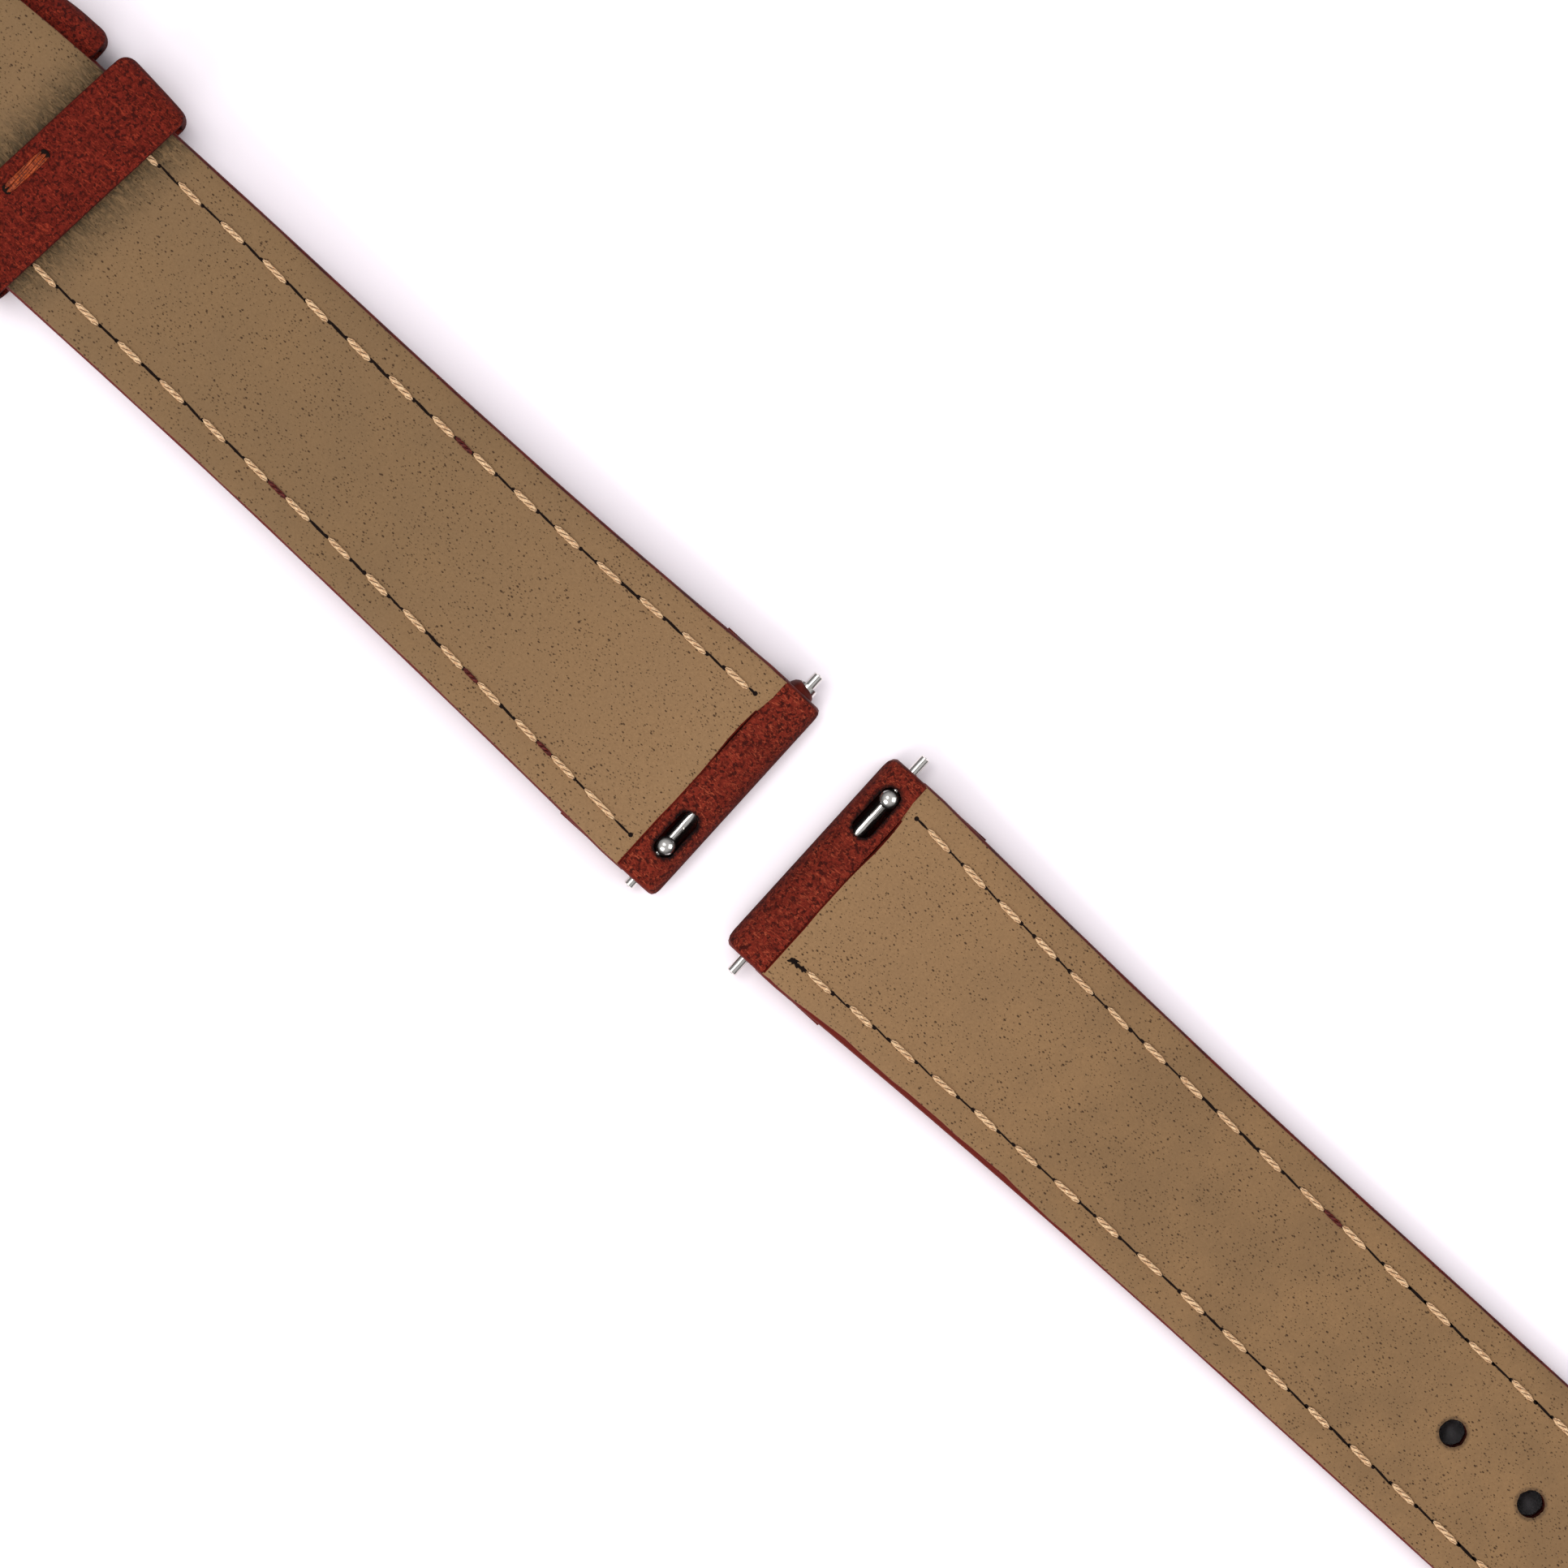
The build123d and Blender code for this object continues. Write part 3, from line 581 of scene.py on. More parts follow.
# %% Steel finishes
def steel(name, colour, rough, marks, turn=0, stretch=(1, 1, 1)):
    metal = Recipe(name, Metallic=1.0)
    lines = metal.noise(marks, 3, 0.6, metal.turned(turn, stretch))
    smudge = metal.noise(500, 2)
    dimmer = tuple(c * 0.9 for c in colour[:3]) + (1,)
    tone = metal.mix(metal.ramp(smudge, 0.3, 0.7), dimmer, colour)
    drawn = metal.ramp(lines, 0.3, 0.7, rough * 0.7, rough * 1.3)
    roughness = metal.plus(drawn, metal.ramp(smudge, 0.4, 0.7, 0.0, 0.05))
    return metal.done(tone, roughness, metal.bump(lines, 0.01, 0.35))


bar_steel = steel("drawn bar steel", tint(226, 223, 218), 0.17, 7000, 0, (1, 0.06, 1))
spring_steel = steel("spring wire steel", tint(176, 172, 165), 0.3, 6000)
buckle_steel = steel("brushed buckle steel", tint(206, 205, 203), 0.22, 6500, 0, (0.05, 1, 1))
by_last_word = {
    "tube": bar_steel, "tip": bar_steel, "plunger": bar_steel, "knob": bar_steel,
    "spring": spring_steel, "frame": buckle_steel, "tang": buckle_steel,
}
steel_nodes = [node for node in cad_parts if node.split("_")[-1] in by_last_word]
for node in steel_nodes:
    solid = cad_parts[node]
    for slot in solid.material_slots:
        slot.material = by_last_word[node.split("_")[-1]]
print("steel on", len(steel_nodes), "nodes")

# %% [markdown]
# ## The outer leather
# Most parts of a strap are strips. A strip is drawn as its cross-section, and then extruded
# from place to place along the strap, a little wider or narrower each time, just as a leather
# worker follows a template. The outer leather is one strip for each half. At the watch end it is
# turned round the bar and glued down on the lining side, where its skived end goes under the
# lining. It is modelled in that order: the thin end of the flap first, up to the step under the
# lining, along the bar's top, round the bar by a spin, and then along the whole underside,
# following the widths. The sewing groove near each edge is pressed in where the seam begins.

# %% A section, and how it is drawn on
def new_section(name, place, low, high, wide, strips):
    """A flat upright cross-section, divided across its width, left in edit mode."""
    piece = begin(bpy.ops.mesh.primitive_grid_add, name, x_subdivisions=1, y_subdivisions=strips, size=1)
    piece.rotation_euler = (0, -math.pi / 2, 0)
    piece.location = Vector((place, 0, (low + high) / 2)) * mm
    settle(piece, ((high - low) * mm, 2 * wide * mm, 1))
    edit()
    return piece


def draw_to(piece, place, low=None, high=None, wide=None):
    """Extrude the chosen section to a place in mm, with a new height range and half width."""
    mesh = bmesh.from_edit_mesh(piece.data)
    chosen = [v.co.copy() for v in mesh.verts if v.select]
    here = sum(c.x for c in chosen) / len(chosen)
    bottom, top = min(c.z for c in chosen), max(c.z for c in chosen)
    side = max(c.y for c in chosen)
    bpy.ops.mesh.extrude_region_move(TRANSFORM_OT_translate={"value": (place * mm - here, 0, 0)})
    taller = 1 if low is None else (high - low) * mm / (top - bottom)
    wider = 1 if wide is None else wide * mm / side
    scale(1, wider, taller, (place * mm, 0, bottom))
    if low is not None:
        bpy.ops.transform.translate(value=(0, 0, low * mm - bottom))


def at(place):
    """Test for the points of the section at a place in mm."""
    return lambda v: abs(v.co.x - place * mm) < 1e-6


def round_section(piece, wide, edge, size, segments):
    """Round the two outer corners of a section at a height in mm."""
    choose(piece, lambda v: abs(abs(v.co.y) - wide * mm) < 1e-6 and abs(v.co.z - edge * mm) < 1e-6)
    bpy.ops.mesh.bevel(affect="VERTICES", offset=size * mm, segments=segments)
    everything()


print("helpers: new_section, draw_to, at, round_section")

# %% The leather's skived flap and its turn round the bar
skin_inset = 0.06
row_inset = 2.5


def row_place(place, half):
    """Distance of a seam from the centre line."""
    if half == "long" and place > tip_start:
        return half_buckle - tip_arc + math.sqrt((tip_arc - row_inset) ** 2 - (place - tip_start) ** 2)
    return half_width(place, half) - row_inset


def lug_turn(half):
    """The thin flap under the lining, the fold band, and the turn round the bar."""
    wide = half_lug - skin_inset
    piece = new_section(f"{half}_leather", flap_reach, 0, outer_ply, wide, 20)
    row = row_place(0, half)
    for side in (-1, 1):
        for off in (-0.42, -0.2, 0.2, 0.42):
            everything()
            bpy.ops.mesh.bisect(plane_co=(0, side * (row + off) * mm, 0), plane_no=(0, 1, 0))
    # the outer side's corners are rounded well, the inner side's only a little
    round_section(piece, wide, outer_ply, 0.42, 3)
    round_section(piece, wide, 0, 0.1, 3)
    under = lining_height(flap_reach, half) - lining_ply
    scale(1, 1, 0.2)
    move(z=under - 0.24)
    for place in (7.0, 5.5, 4.5, 3.6):
        under = lining_height(place, half) - lining_ply - 0.02
        draw_to(piece, place, under - 0.3 - 0.09 * (flap_reach - place), under, wide)
    draw_to(piece, 3.54, lug_thickness - outer_ply, lug_thickness - 0.12)
    draw_to(piece, 3.40, lug_thickness - outer_ply, lug_thickness)
    for place in (2.9, 2.4, lug_loop):
        draw_to(piece, place)
    bpy.ops.mesh.spin(steps=16, angle=math.pi, center=(lug_loop * mm, 0, lug_loop * mm), axis=(0, 1, 0))
    return piece


trial = lug_turn("long")
leave()
corners = [v.co / mm for v in trial.data.vertices]
print("the turn spans x", round(min(c.x for c in corners), 2), "to", round(max(c.x for c in corners), 2),
      "and z", round(min(c.z for c in corners), 2), "to", round(max(c.z for c in corners), 2))
bpy.data.objects.remove(trial)

# %% [markdown]
# The watch end's corners are cut to a small radius. After the turn, the points nearest to the
# end are drawn in towards the centre line, one narrow slice after another. Then the underside
# is drawn out to the far end, and the sewing groove is pressed in on the way.

# %% Round corners at the watch end, then the long underside with its grooves
groove_depth = 0.22
groove_end = {"long": 113.5, "short": 68.0}
corner_radius = {"long": 0.6, "short": 0.35}


def round_corners(piece, end, sense, wide, radius=0.6):
    """Draw in the points nearest to an end, slice by slice, to round the corners in plan."""
    mesh = bmesh.from_edit_mesh(piece.data)
    depths = [(v.co.x / mm - end) * sense for v in mesh.verts]
    for depth in sorted({round(d, 3) for d in depths if d < radius}):
        shrink = radius - math.sqrt(max(radius**2 - (radius - max(depth, 0)) ** 2, 0))
        choose(piece, lambda v: abs((v.co.x / mm - end) * sense - depth) < 0.0006)
        scale(1, 1 - shrink / wide, 1)


def draw_underside(piece, half, places):
    """Draw the ply along the outer face, with the grooves for the seams pressed in."""
    last_wide, last_row, pressed = half_lug - skin_inset, row_place(0, half), False
    for place in places:
        wide = half_width(place, half) - skin_inset * (1 if place < 119 else 0.2)
        draw_to(piece, place, wide=wide)
        here = at(place)
        row = last_row * wide / last_wide
        if place < groove_end[half]:
            set_row = row_place(place, half)
            choose(piece, lambda v: here(v) and abs(abs(v.co.y) / mm - row) < 0.47)
            scale(1, set_row / row, 1)
            row = set_row
        grooved = 4.2 < place < groove_end[half]
        if grooved != pressed:
            # into the groove go all low points near the row, and out of it only its own
            low, high = (-0.1, 0.5) if grooved else (groove_depth - 0.05, groove_depth + 0.05)
            choose(piece, lambda v: here(v) and low * mm < v.co.z < high * mm
                   and abs(abs(v.co.y) / mm - row) < 0.6)
            move(z=groove_depth if grooved else -groove_depth)
            pressed = grooved
        choose(piece, here)
        last_wide, last_row = wide, row


def draw_outer(half, places):
    """The outer leather from its flap to the last of the given places."""
    piece = lug_turn(half)
    round_corners(piece, 0, 1, half_lug, corner_radius[half])
    choose(piece, lambda v: at(lug_loop)(v) and v.co.z < (outer_ply + 0.01) * mm)
    draw_underside(piece, half, places)
    return piece


along = [3.0, 4.0, 4.6] + [6 + 2 * n for n in range(34)]
to_point = [74 + 2 * n for n in range(17)] + [107.5, 109, 110.5, 112, 113.4, 114.2, 115, 116, 117, 118]
to_point += [118.6, 119.1, 119.5, 119.75, 119.86]
long_leather = draw_outer("long", along + to_point)
close_up(long_leather)

# %% [markdown]
# The short half's leather is thinned near its far end, turned round the buckle's bar, and its
# flap goes back under the lining, as at the watch end.

# %% The buckle end of the short half
buckle_loop = 1.5
buckle_ply = 0.7
short_thickness = end_thickness["short"]
flap_top = short_thickness - lining_ply - 0.02
short_leather = draw_outer("short", along + [74, 76, 77, 77.8])
draw_to(short_leather, 78.6, 0, 0.95)
draw_to(short_leather, 79.2, 0, buckle_ply)
draw_to(short_leather, short_reach)
bpy.ops.mesh.spin(steps=14, angle=math.pi, center=(short_reach * mm, 0, buckle_loop * mm), axis=(0, 1, 0))
round_corners(short_leather, short_reach + buckle_loop, -1, half_buckle)
choose(short_leather, lambda v: at(short_reach)(v) and v.co.z > buckle_loop * mm)
draw_to(short_leather, 79.02)
draw_to(short_leather, 78.92, short_thickness - buckle_ply, short_thickness - 0.12)
draw_to(short_leather, 78.86, short_thickness - 0.95, flap_top)
draw_to(short_leather, 76.8, short_thickness - 0.9, flap_top)
close_up(short_leather)

# %% [markdown]
# ## Lining and painted edge
# The lining is cut a little narrower than the outer leather, and its knife edge wanders by a
# tenth of a millimetre. Between it and the outer leather, and over the edges of all plies, lies
# the edge paint: a rounded bead that shows as a thin dark line. On the long half it is broader
# along one side near the watch, where the lining was cut too narrow.

# %% Lining, with an edge that was cut by hand
def edge_wander(place, half, side):
    """How far the lining's cut edge strays, in mm. The long half's right edge strays most."""
    slow, middling = math.sin(place * 0.83 + side), math.sin(place * 2.1 + 2 * side)
    drift = slow * 0.5 + middling * 0.3 + math.sin(place * 4.7) * 0.2
    if half == "long" and place > tip_start:
        return 0.0
    if half == "long" and side < 0 and place < 34:
        return 0.08 * drift + 0.22 * min(1, max(0, (place - 3.6) / 7), (34 - place) / 8)
    return drift * 0.035


def draw_lining(half, start, end, off_centre):
    """The lining from the fold to its far end, with corners that were trimmed by hand."""
    inset, step = 0.14, 1.5
    wide = half_lug - inset
    under = lug_thickness - lining_ply
    piece = new_section(f"{half}_lining_leather", start, under, lug_thickness, wide, 12)
    round_section(piece, wide, lug_thickness, 0.16, 2)
    strays = {1: 0.0, -1: 0.0}
    places = [start + 0.12, start + 0.7]
    place = start + step
    while place < end - 1.0:
        places.append(place)
        place += step
    if half == "long":
        places += [113, 114.5, 116, 117.2, 118.2, 118.9, 119.3]
    places = sorted({round(p, 3) for p in places if p < end - 0.2}) + [end - 0.12, end]
    for place in places:
        height = lug_thickness + 0.02 if place == start + 0.12 else lining_height(place, half)
        sunk = 0.1 if place == end and half == "short" else 0
        now = max(half_width(place + (inset if half == "long" and place > 100 else 0), half) - inset, 0.2)
        draw_to(piece, place, height - lining_ply, height - sunk, (wide - strays[1]) * now / wide)
        for side in (1, -1):
            stray = edge_wander(place, half, side)
            choose(piece, lambda v: at(place)(v) and v.co.y * side > (now - 0.8) * mm)
            move(y=-side * (stray - strays[side]))
            strays[side] = stray
        choose(piece, at(place))
        wide = now
    choose(piece, lambda v: v.co.x < (start + 0.001) * mm and v.co.z > (lug_thickness - 0.1) * mm)
    move(z=-0.1)
    # beyond the seam on one side the lining was trimmed less, so its corner reaches further
    outer_side = 1 if half == "long" else -1
    for off, reach in ((6.9, -0.42), (6.0, 0.12), (2.5, 0.1), (-3.0, -0.06)):
        choose(piece, lambda v: v.co.x < (start + 0.2) * mm
               and off * mm < v.co.y * outer_side < (off + 3.1) * mm)
        move(x=reach)
    everything()
    move(y=off_centre)
    return piece


lining_start = fold_band + 0.06
long_lining_leather = draw_lining("long", lining_start, tip_end - 0.3, -0.02)
close_up(long_lining_leather, 50)
short_lining_leather = draw_lining("short", lining_start, 78.88, 0.03)
close_up(short_lining_leather, 50)

# %% The painted edge, a rounded bead along both sides
def draw_edge(half, end):
    """The bead from the fold to the far end, its top a little under the lining's face."""
    start, low, sunk = 3.05, 0.3, 0.2
    piece = new_section(f"{half}_painted_edge", start, 0, 3, half_lug, 4)
    choose(piece, lambda v: abs(abs(v.co.y) - half_lug * mm) < 1e-6)
    bpy.ops.mesh.bevel(affect="VERTICES", offset=0.5 * mm, segments=4)
    everything()
    places = [start + 0.4, 4, 5] + [6 + 2 * n for n in range(50)]
    if half == "long":
        places += [107, 109, 111, 113, 114.5, 115.5, 116.5, 117.3, 118, 118.5, 119, 119.3, 119.6]
    else:
        places += [69.1, 69.3, 76.8, 77.0]
    for place in sorted({p for p in places if p < end - 0.25}):
        top = lining_height(max(place, fold_band), half) - sunk
        if place < fold_band + 0.3:
            top -= lining_ply - sunk
        elif half == "short" and 69.2 < place < 76.9:
            # here the fixed keeper goes in between the plies
            top = 1.9
        draw_to(piece, place, low, top, half_width(place, half))
    thickness = end_thickness[half]
    if half == "long":
        draw_to(piece, end - 0.08, low + 0.12, thickness - sunk - 0.1, half_width(end - 0.08, half))
        draw_to(piece, end, low + 0.5, thickness - sunk - 0.45, 0.35)
    else:
        draw_to(piece, end, low, thickness - lining_ply)
    return piece


long_painted_edge = draw_edge("long", tip_end)
close_up(long_painted_edge, 60)
short_painted_edge = draw_edge("short", 78.84)
close_up(short_painted_edge, 60)

# %% [markdown]
# ## Slots, holes and the cut for the tang
# The maker punches these through the finished strap. Each punch is a cutter that is taken away
# from the leather with a boolean. A real punch leaves a slightly uneven rim, so the cutters are
# not perfectly round.

# %% Punches
def punch(name, place, across_at, radius, run, low, high, uneven=0.0, sides=28):
    """An upright cutter: round, or stretched along Y to a slot."""
    middle = (place * mm, across_at * mm, (low + high) / 2 * mm)
    cutter = begin(bpy.ops.mesh.primitive_cylinder_add, name, vertices=sides, radius=radius * mm,
                   depth=(high - low) * mm, location=middle)
    settle(cutter)
    edit()
    for side in (1, -1):
        choose(cutter, lambda v: (v.co.y / mm - across_at) * side > 0.0001)
        move(y=side * run / 2)
    leave()
    wobble = random.Random(name)
    for number in range(sides):
        pull = 1 + wobble.uniform(-uneven, uneven)
        for v in cutter.data.vertices[2 * number:2 * number + 2]:
            v.co.x = place * mm + (v.co.x - place * mm) * pull
    return cutter


def cut(cutter, *pieces):
    """Take a cutter away from pieces, and put it aside."""
    for piece in pieces:
        finish_with(piece, "BOOLEAN", "cut", operation="DIFFERENCE", solver="EXACT", object=cutter)
    bpy.data.objects.remove(cutter)


slot_radius = 0.8
for piece, half, first, last in ((long_leather, "long", 2.92, 7.28), (short_leather, "short", 2.57, 6.48)):
    run = last - first - 2 * slot_radius
    cut(punch(f"{half}_slot", lug_loop, (first + last) / 2, slot_radius, run, lug_loop, 5, 0.05), piece)
print("slots in", long_leather.name, "and", short_leather.name)

# %% Holes along the long half, and the cut that the tang swings in
first_hole, hole_pitch, hole_count, hole_radius = 62.1, 7.5, 7, 1.0
for number in range(hole_count):
    hole = punch(f"hole_{number}", first_hole + number * hole_pitch, 0, hole_radius, 0, -1, 5, 0.04)
    cut(hole, long_leather, long_painted_edge, long_lining_leather)
# the tang's cut is a wide hole, drawn out past the strap's end
tang_middle, tang_radius = 79.15, 1.75
tang_cut = punch("tang_cut", tang_middle, 0, tang_radius, 0, -1, 5, 0.0, 32)
take(tang_cut)
edit()
choose(tang_cut, lambda v: v.co.x > 79.2 * mm)
move(x=8)
leave()
cut(tang_cut, short_leather, short_painted_edge, short_lining_leather)
print("holes", hole_count, "at", [round(first_hole + n * hole_pitch, 1) for n in range(hole_count)])

# %% [markdown]
# The paint was brushed over every cut edge: over the sides of both leathers, and over the
# lining's front edge at the fold. Those faces get it as a second finish.

# %% Finishes on the leathers, and each piece laid in its place
def dress(piece, node, body, slot, *finishes):
    """Give a piece its finishes and its body, and hide the node that it stands for. Its slot is not used.
    """
    piece.data.materials.clear()
    for finish in finishes:
        piece.data.materials.append(finish)
    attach(piece, body)
    if node:
        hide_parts(node)


def brush_edges(piece, half, sideways, front_end=-math.inf):
    """Give the paint to faces that look sideways at an edge, or forwards at the front end."""
    for face in piece.data.polygons:
        outermost = abs(face.center.y) > (half_width(face.center.x / mm, half) - 0.6) * mm
        side_on = outermost and abs(face.normal.y) > sideways
        at_front = face.normal.x < -0.7 and face.center.x < front_end
        face.material_index = 1 if side_on or at_front else 0


for half, leather, edge, calf_piece in (
    ("long", long_leather, long_painted_edge, long_lining_leather),
    ("short", short_leather, short_painted_edge, short_lining_leather),
):
    dress(leather, f"{half}_outer_leather", f"{half}_half", "outer_leather", outer_nubuck, edge_paint)
    dress(edge, f"{half}_filler", f"{half}_half", "edge_filler", edge_paint)
    dress(calf_piece, f"{half}_lining", f"{half}_half", "lining_leather", calf_lining, edge_paint)
    brush_edges(leather, half, 0.3)
    brush_edges(calf_piece, half, 0.72, 4 * mm)
    for piece in (leather, edge, calf_piece):
        put(piece, half)

# %% [markdown]
# ## The seams
# The strap is sewn along both edges. On the lining side each stitch is a fat little bundle of
# twisted, waxed thread, a little over two millimetres long, with blunt ends that dive into its
# holes. Between two stitches the thread runs on the other side, and the leather closes to a thin
# dark slit with a small hole at each end; slits and holes are drawn as thin dark leaves of painted shade.
# One stitch is modelled as a three-ply strand, drawn out and twisted, and is then copied along each seam.

# %% One twisted stitch
def girth_at(share):
    """How thick a strand is along its length: full in the middle, a third at both ends."""
    return min(1.0, 0.34 + 0.66 * min(share, 1 - share) / 0.16)


def twisted_stitch(name, length, width, height, turns, steps=12):
    """A strand of three plies, thinner at both ends, along X."""
    strand = begin(bpy.ops.mesh.primitive_circle_add, name, vertices=12, radius=0.5, fill_type="NGON",
                   rotation=(0, math.pi / 2, 0))
    settle(strand)
    bpy.ops.object.mode_set(mode="EDIT")
    # every fourth point is drawn in, which leaves three round plies
    mesh = bmesh.from_edit_mesh(strand.data)
    for number, v in enumerate(mesh.verts):
        v.select_set(number % 4 == 0)
    mesh.select_flush_mode()
    scale(1, 0.5, 0.5)
    everything()
    last = 0.2
    scale(1, last, last)
    for step in range(1, steps + 1):
        share = step / steps
        girth = girth_at(share)
        here = (share, 0, 0)
        bpy.ops.mesh.extrude_region_move(TRANSFORM_OT_translate={"value": (1 / steps, 0, 0)})
        scale(1, girth / last, girth / last, here)
        bpy.ops.transform.rotate(value=turns * math.tau / steps, orient_axis="X", center_override=here)
        last = girth
    leave()
    # mark the hollows between the plies, so that the thread's finish can paint shade into them
    marks = strand.data.attributes.new("ply_groove", "FLOAT", "POINT")
    for v in strand.data.vertices:
        away = math.hypot(v.co.y, v.co.z) / (0.5 * girth_at(v.co.x))
        marks.data[v.index].value = 1.0 if away < 0.75 else 0.0
    edit()
    bpy.ops.transform.translate(value=(-0.5, 0, 0))
    scale(length * mm, width * mm, height * mm)
    close_up(strand, 75)
    return strand


stitch_length = 2.25
cream_stitch = twisted_stitch("cream_stitch", stitch_length, 0.42, 0.4, 1.15, 20)
print("one stitch measures", [round(d / mm, 2) for d in cream_stitch.dimensions])

# %% One dark slit between two stitches
slit_length, slit_width = 1.9, 0.2
slit = begin(bpy.ops.mesh.primitive_circle_add, "slit", vertices=10, radius=0.5, fill_type="NGON")
settle(slit, (slit_length * mm, slit_width * mm, 1))
edit()
bpy.ops.mesh.extrude_region_move(TRANSFORM_OT_translate={"value": (0, 0, 0.02 * mm)})
everything()
bpy.ops.mesh.normals_make_consistent(inside=False)
leave()
print("slit", len(slit.data.polygons), "faces")

# %% Where the stitches lie
# for each seam: its first stitch, and the stitches' pitch up to pitch_change
seams = {"short_left": (7.4, 3.70), "short_right": (6.2, 3.92),
         "long_left": (6.5, 3.60), "long_right": (7.0, 3.85)}
seam_end = {"long": 112.3, "short": 66.7}
far_pitch, pitch_change = 4.06, 33.0
# how much of its pitch a stitch covers
stitch_cover = 2.15


def bend_at(place, half):
    """How much the seam's distance from the middle changes over one millimetre."""
    return row_place(place + 0.5, half) - row_place(place - 0.5, half)


def seam_places(name):
    """Distances from the watch end of a seam's stitches."""
    half = name.split("_")[0]
    place, near = seams[name]
    places = []
    while place < seam_end[half]:
        places.append(place)
        place += (near if place < pitch_change else far_pitch) * math.cos(math.atan(bend_at(place, half)))
    return places


def copy_of(model, matrix, finish):
    """A copy with its own mesh, moved by a matrix."""
    made = model.copy()
    made.data = model.data.copy()
    made.data.materials.clear()
    made.data.materials.append(finish)
    made.data.transform(matrix)
    bpy.context.scene.collection.objects.link(made)
    return made


def join_as(name, parts):
    bpy.ops.object.select_all(action="DESELECT")
    for part in parts:
        part.select_set(True)
    bpy.context.view_layer.objects.active = parts[0]
    bpy.ops.object.join()
    parts[0].name = name
    return parts[0]


def seam_matrix(place, side, half, rise, slant, lean_over=True):
    """Where one stitch lies, along the seam's own direction and the lining's slope."""
    off = row_place(place, half) + max(0, 0.25 * (1 - place / 22))
    fall = lining_height(place - 0.5, half) - lining_height(place + 0.5, half)
    drop = math.atan(fall) if lean_over else 0
    return (Matrix.Translation(Vector((place, side * off, rise)) * mm)
            @ Matrix.Rotation(side * math.atan(bend_at(place, half)) + slant, 4, "Z")
            @ Matrix.Rotation(drop, 4, "Y"))


# in a few gaps the red outer thread shows through
red_gaps = {("short_left", 1), ("short_left", 3), ("short_left", 8), ("short_right", 6),
            ("long_right", 17), ("long_left", 10)}
# one thread's end was knotted and melted: turn in degrees, place and length of each dark line
knot = ((38, 0.1, 0.9), (-34, 0.35, 0.8), (80, 0.2, 0.5), (12, 0.9, 0.9), (-60, 1.0, 0.5))
print("stitches:", {name: len(seam_places(name)) for name in seams})

# %% Sew the four seams
def sew(name):
    """Sew one seam: cream stitches and dark slits on the lining, red stitches outside."""
    half, hand = name.split("_")
    side = 1 if hand == "left" else -1
    hand_work = random.Random(name)
    places = seam_places(name)
    shown, hidden = [], []

    def dark_line(place, slant, length, width):
        """A slit or a hole as painted shade, or a melted mark: a thin dark leaf of the given length and
        width in mm.
        """
        leaf = seam_matrix(place, side, half, lining_height(place, half) - 0.005, slant)
        shape = Matrix.Diagonal((length / slit_length, width / slit_width, 1, 1))
        shown.append(copy_of(slit, leaf @ shape, slit_shade_and_melt))

    for number, place in enumerate(places):
        slant = math.radians(-2.5 + hand_work.uniform(-1.8, 1.8))
        length = hand_work.uniform(0.93, 1.06) * (1.33 if name == "short_left" and number == 0 else 1)
        model = Matrix.Diagonal((length, hand_work.uniform(0.9, 1.06), 1, 1))
        high = seam_matrix(place, side, half, lining_height(place, half) + 0.05, slant)
        shown.append(copy_of(cream_stitch, high @ model, cream_thread))
        low = seam_matrix(place, side, half, 0.0, -slant, False) @ Matrix.Diagonal((1.1, 0.95, 0.42, 1))
        hidden.append(copy_of(cream_stitch, Matrix.Translation((0, 0, 0.1 * mm)) @ low, red_thread))
        if number == 0:
            # before the first stitch the thread comes up through a hole and a slit, both painted shade
            start = 4.3 if side > 0 else 4.5
            run = place - length * 1.1 - start
            dark_line(start + run / 2, slant, run, 0.18)
            dark_line(start, slant, 0.36, 0.36)
            for turn, off, size in knot if name == "long_right" else ():
                dark_line(start + off, math.radians(turn), size, 0.24)
        if number + 1 < len(places):
            gap = places[number + 1] - place - stitch_cover
            between = (place + places[number + 1]) / 2 + hand_work.uniform(-0.05, 0.05)
            thin = 0.13 if half == "long" and place < 30 else 0.21 * hand_work.uniform(0.7, 1.15)
            dark_line(between, slant * 1.5, gap * 1.1, thin)
            for end in (-1, 1):
                hole_place = between + end * gap * hand_work.uniform(0.4, 0.5)
                dark_line(hole_place, slant, hand_work.uniform(0.32, 0.5), hand_work.uniform(0.22, 0.32))
            if (name, number) in red_gaps:
                red = Matrix.Diagonal((gap / stitch_length * 0.95, 0.78, 0.8, 1))
                spot = seam_matrix(between, side, half, lining_height(between, half) + 0.03, slant)
                shown.append(copy_of(cream_stitch, spot @ red, red_thread))
    seam = join_as(f"{name}_seam", shown)
    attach(seam, f"{half}_half")
    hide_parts(f"{name}_lining_stitches")
    under = join_as(f"{name}_outer_seam", hidden)
    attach(under, f"{half}_half")
    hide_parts(f"{name}_outer_stitches")
    for piece in (seam, under):
        put(piece, half)
    print(name, len(places), "stitches,", len(seam.data.polygons), "faces on the lining side")


for name in seams:
    sew(name)
for model in (cream_stitch, slit):
    bpy.data.objects.remove(model)

# %% [markdown]
# ## The keepers
# A keeper is a loop of leather that holds the strap's point. It is cut as a strip with rounded
# corners, wrapped round the strap and sewn where its ends meet. The floating one slides and sits
# a little askew. The fixed one goes in between the plies and stands under the short half.
# Each is drawn as a rounded ring, trimmed to its plan, and remeshed finely, so that all its
# edges soften as a cut and rubbed edge does.

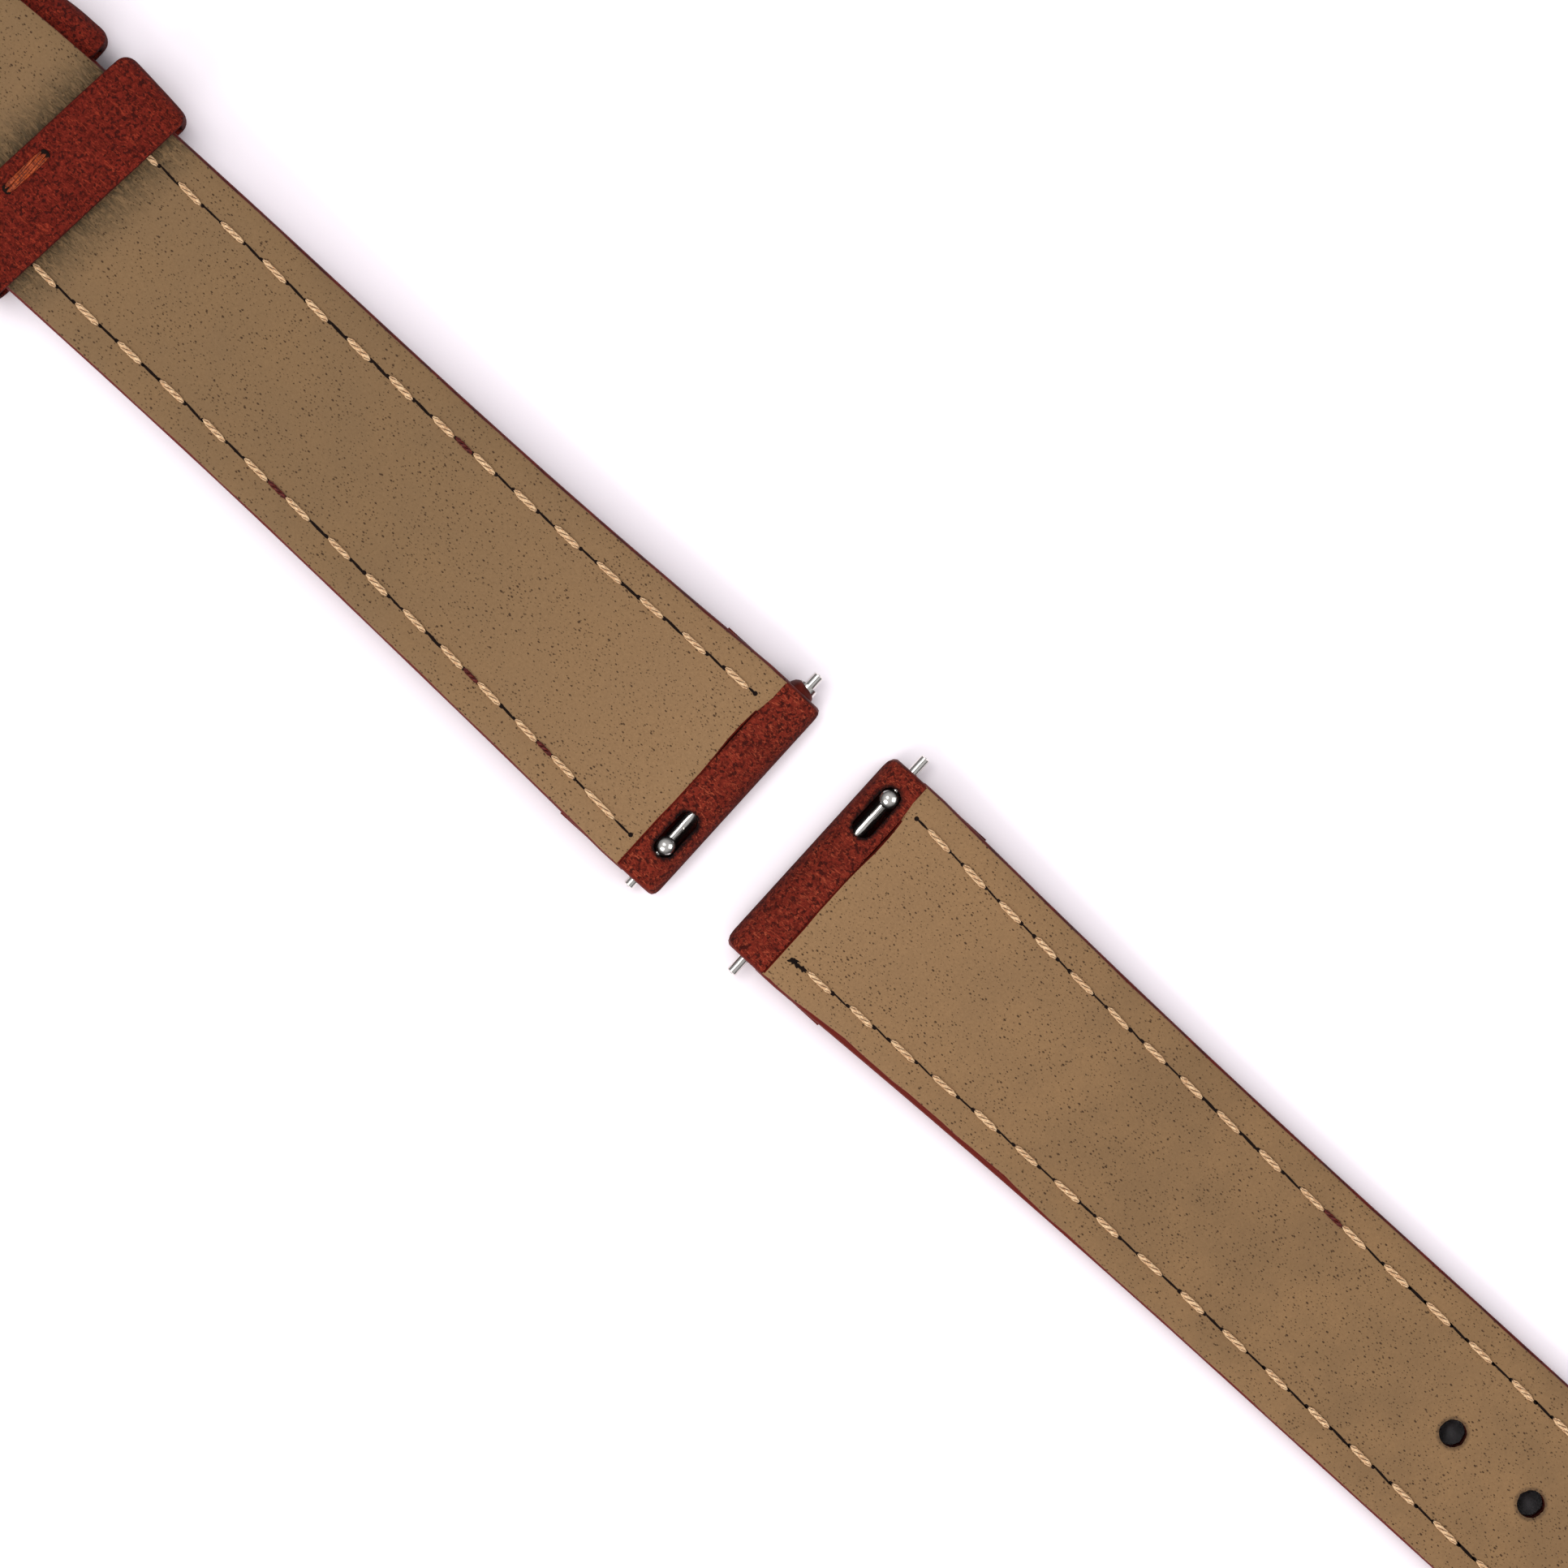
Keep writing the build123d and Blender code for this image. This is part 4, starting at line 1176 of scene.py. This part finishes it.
# %% A keeper's ring
def keeper_ring(name, outside, bottom, top, ply, width):
    """A band round the strap, with its length along X centred on zero."""
    ring = new_section(name, -width / 2, bottom, top, outside, 1)
    bpy.ops.mesh.bevel(affect="VERTICES", offset=(ply + 0.3) * mm, segments=5)
    everything()
    bpy.ops.mesh.inset(thickness=ply * mm)
    bpy.ops.mesh.delete(type="FACE")
    everything()
    bpy.ops.mesh.extrude_region_move(TRANSFORM_OT_translate={"value": (width * mm, 0, 0)})
    everything()
    bpy.ops.mesh.normals_make_consistent(inside=False)
    leave()
    knife = begin(bpy.ops.mesh.primitive_cube_add, "knife", size=1)
    settle(knife, (width * mm, 2 * outside * mm, 4 * (top - bottom) * mm))
    edit()
    choose(knife, lambda e: abs(e.verts[0].co.z - e.verts[1].co.z) > 1e-4, "edges")
    bpy.ops.mesh.bevel(offset=0.95 * mm, segments=5)
    leave()
    finish_with(ring, "BOOLEAN", "trim", operation="INTERSECT", solver="EXACT", object=knife)
    bpy.data.objects.remove(knife)
    return ring


def swell(piece, wave, reach):
    """Let a surface rise and fall by a soft random pattern. Sizes are in mm."""
    clouds = bpy.data.textures.new(f"{piece.name}_swell", "CLOUDS")
    clouds.noise_scale = reach * mm
    finish_with(piece, "DISPLACE", "swell", texture=clouds, strength=wave * mm,
                mid_level=0.5, texture_coords="LOCAL")


def soften(ring, wave):
    """Remesh a ring finely, rub its edges round, and let it undulate a little."""
    finish_with(ring, "REMESH", "fine", mode="VOXEL", voxel_size=0.15 * mm)
    finish_with(ring, "SMOOTH", "rub", factor=0.6, iterations=6)
    swell(ring, wave, 3.5)
    take(ring)
    bpy.ops.object.shade_smooth()
    print(ring.name, len(ring.data.polygons), "faces")


# %% The floating keeper, askew on the strap
keeper_middle = 65.6
skew = math.radians(-5)
keeper_bottom, keeper_top = -3.335, short_thickness + 1.4
floating = keeper_ring("floating_keeper_band", outside=9.67, bottom=keeper_bottom, top=keeper_top,
                       ply=0.88, width=6.5)
soften(floating, 0.08)
on_strap = Matrix.Translation((keeper_middle * mm, -0.18 * mm, 0))
floating.data.transform(on_strap @ Matrix.Rotation(skew, 4, "Z"))
put(floating, "short")
dress(floating, "floating_keeper", "keeper", "outer_leather", keeper_nubuck)

# %% The fixed keeper, whose ends go in between the plies
fixed_middle = 73.1
fixed = keeper_ring("fixed_keeper_band", outside=10.1, bottom=-3.8, top=2.3, ply=1.2, width=7.0)
gap_cutter = begin(bpy.ops.mesh.primitive_cube_add, "gap", size=1, location=(0, 0, 2.0 * mm))
settle(gap_cutter, (9 * mm, 7.2 * mm, 2.4 * mm))
cut(gap_cutter, fixed)
soften(fixed, 0.12)
fixed.data.transform(Matrix.Translation((fixed_middle * mm, 0, 0)))
put(fixed, "short")
dress(fixed, "fixed_keeper", "short_half", "outer_leather", keeper_nubuck)

# %% [markdown]
# The floating keeper's ends are closed with one thick stitch of four strands, laid side by side,
# which goes down through an awl hole at each end, drawn as a flat dark blob of painted shade.

# %% The thick stitch that closes the floating keeper
low_corner, high_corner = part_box("floating_keeper_stitch")
cord_length = 3.9
# how far each strand lies to the side, how high, and how it is turned
lies = ((-0.26, 0, 0.02), (-0.09, 0.06, -0.03), (0.09, 0.07, 0.03), (0.26, 0.01, -0.02))
strands = []
for number, (off, rise, turn) in enumerate(lies):
    length = cord_length * (0.94 + 0.03 * number)
    strand = twisted_stitch(f"keeper_strand_{number}", length, 0.3, 0.3, 0.7, 18)
    strand.data.transform(Matrix.Translation((0, off * mm, rise * mm)) @ Matrix.Rotation(turn, 4, "Z"))
    strand.data.materials.append(keeper_cord)
    strands.append(strand)
# painted shade: each awl hole is a flat dark blob at one end of the stitch
for end in (-1, 1):
    awl_hole = begin(bpy.ops.mesh.primitive_uv_sphere_add, "awl_hole", segments=12, ring_count=6,
                     radius=0.33 * mm, location=(end * cord_length * 0.48 * mm, 0, 0.01 * mm))
    settle(awl_hole, (0.75, 1.25, 0.3))
    awl_hole.data.materials.append(slit_shade_and_melt)
    strands.append(awl_hole)
keeper_thread = join_as("keeper_thread", strands)
off_middle = Matrix.Translation(Vector((1.8, 1.2, 0)) * mm)
thread_turn = Matrix.Rotation(skew, 4, "Z") @ off_middle @ Matrix.Rotation(math.pi / 2, 4, "Z")
over_keeper = Matrix.Translation(Vector((keeper_middle, 0, keeper_top + 0.06)) * mm)
keeper_thread.data.transform(over_keeper @ thread_turn)
put(keeper_thread, "short")
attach(keeper_thread, "keeper")
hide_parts("floating_keeper_stitch")
print("keeper thread", [round(c / mm, 2) for c in (low_corner + high_corner) / 2])

# %% [markdown]
# ## Paint on the bar's end
# On the short half the bar sits a little to one side, so its tube stands out of the fold, and
# the edge paint was brushed right over it. It makes a small rounded bump beside the tip.

# %% A blob of paint
blob = begin(bpy.ops.mesh.primitive_uv_sphere_add, "bar_end_paint", segments=32, ring_count=16,
             radius=1.12 * mm, location=(-18.93 * mm, 8.15 * mm, 2.0 * mm))
settle(blob, (1, 0.84, 1))
close_up(blob, 60)
swell(blob, 0.3, 0.8)
dress(blob, None, "short_half", "edge_filler", edge_paint)
print("paint reaches y", round(max(v.co.y for v in blob.data.vertices) / mm, 2))

# %% [markdown]
# ## A slight bow
# Leather that is cut by hand never lies perfectly straight. The short half bows sideways by a
# third of a millimetre towards its keepers, and comes back to the middle at the buckle's bar.

# %% Bow the short half's soft pieces
def ease(value):
    """A smooth step from zero to one."""
    value = min(1, max(0, value))
    return value * value * (3 - 2 * value)


# the bow grows over bow_run mm and goes back over back_run mm, from places along the half
bow, bow_from, bow_run, back_from, back_run = 0.34, 18, 38, 70, 9
short_start = -16.809
soft_pieces = [short_leather, short_painted_edge, short_lining_leather, floating, fixed, keeper_thread]
soft_pieces += [bpy.data.objects[f"short_{seam}"]
                for seam in ("left_seam", "left_outer_seam", "right_seam", "right_outer_seam")]
for piece in soft_pieces:
    for v in piece.data.vertices:
        place = (short_start - v.co.x / mm) / math.cos(lean)
        grown, gone = ease((place - bow_from) / bow_run), ease((place - back_from) / back_run)
        v.co.y += bow * mm * grown * (1 - gone)
print("bowed", len(soft_pieces), "pieces by", bow, "mm")

# %% Update the view layer before the finish
bpy.context.view_layer.update()
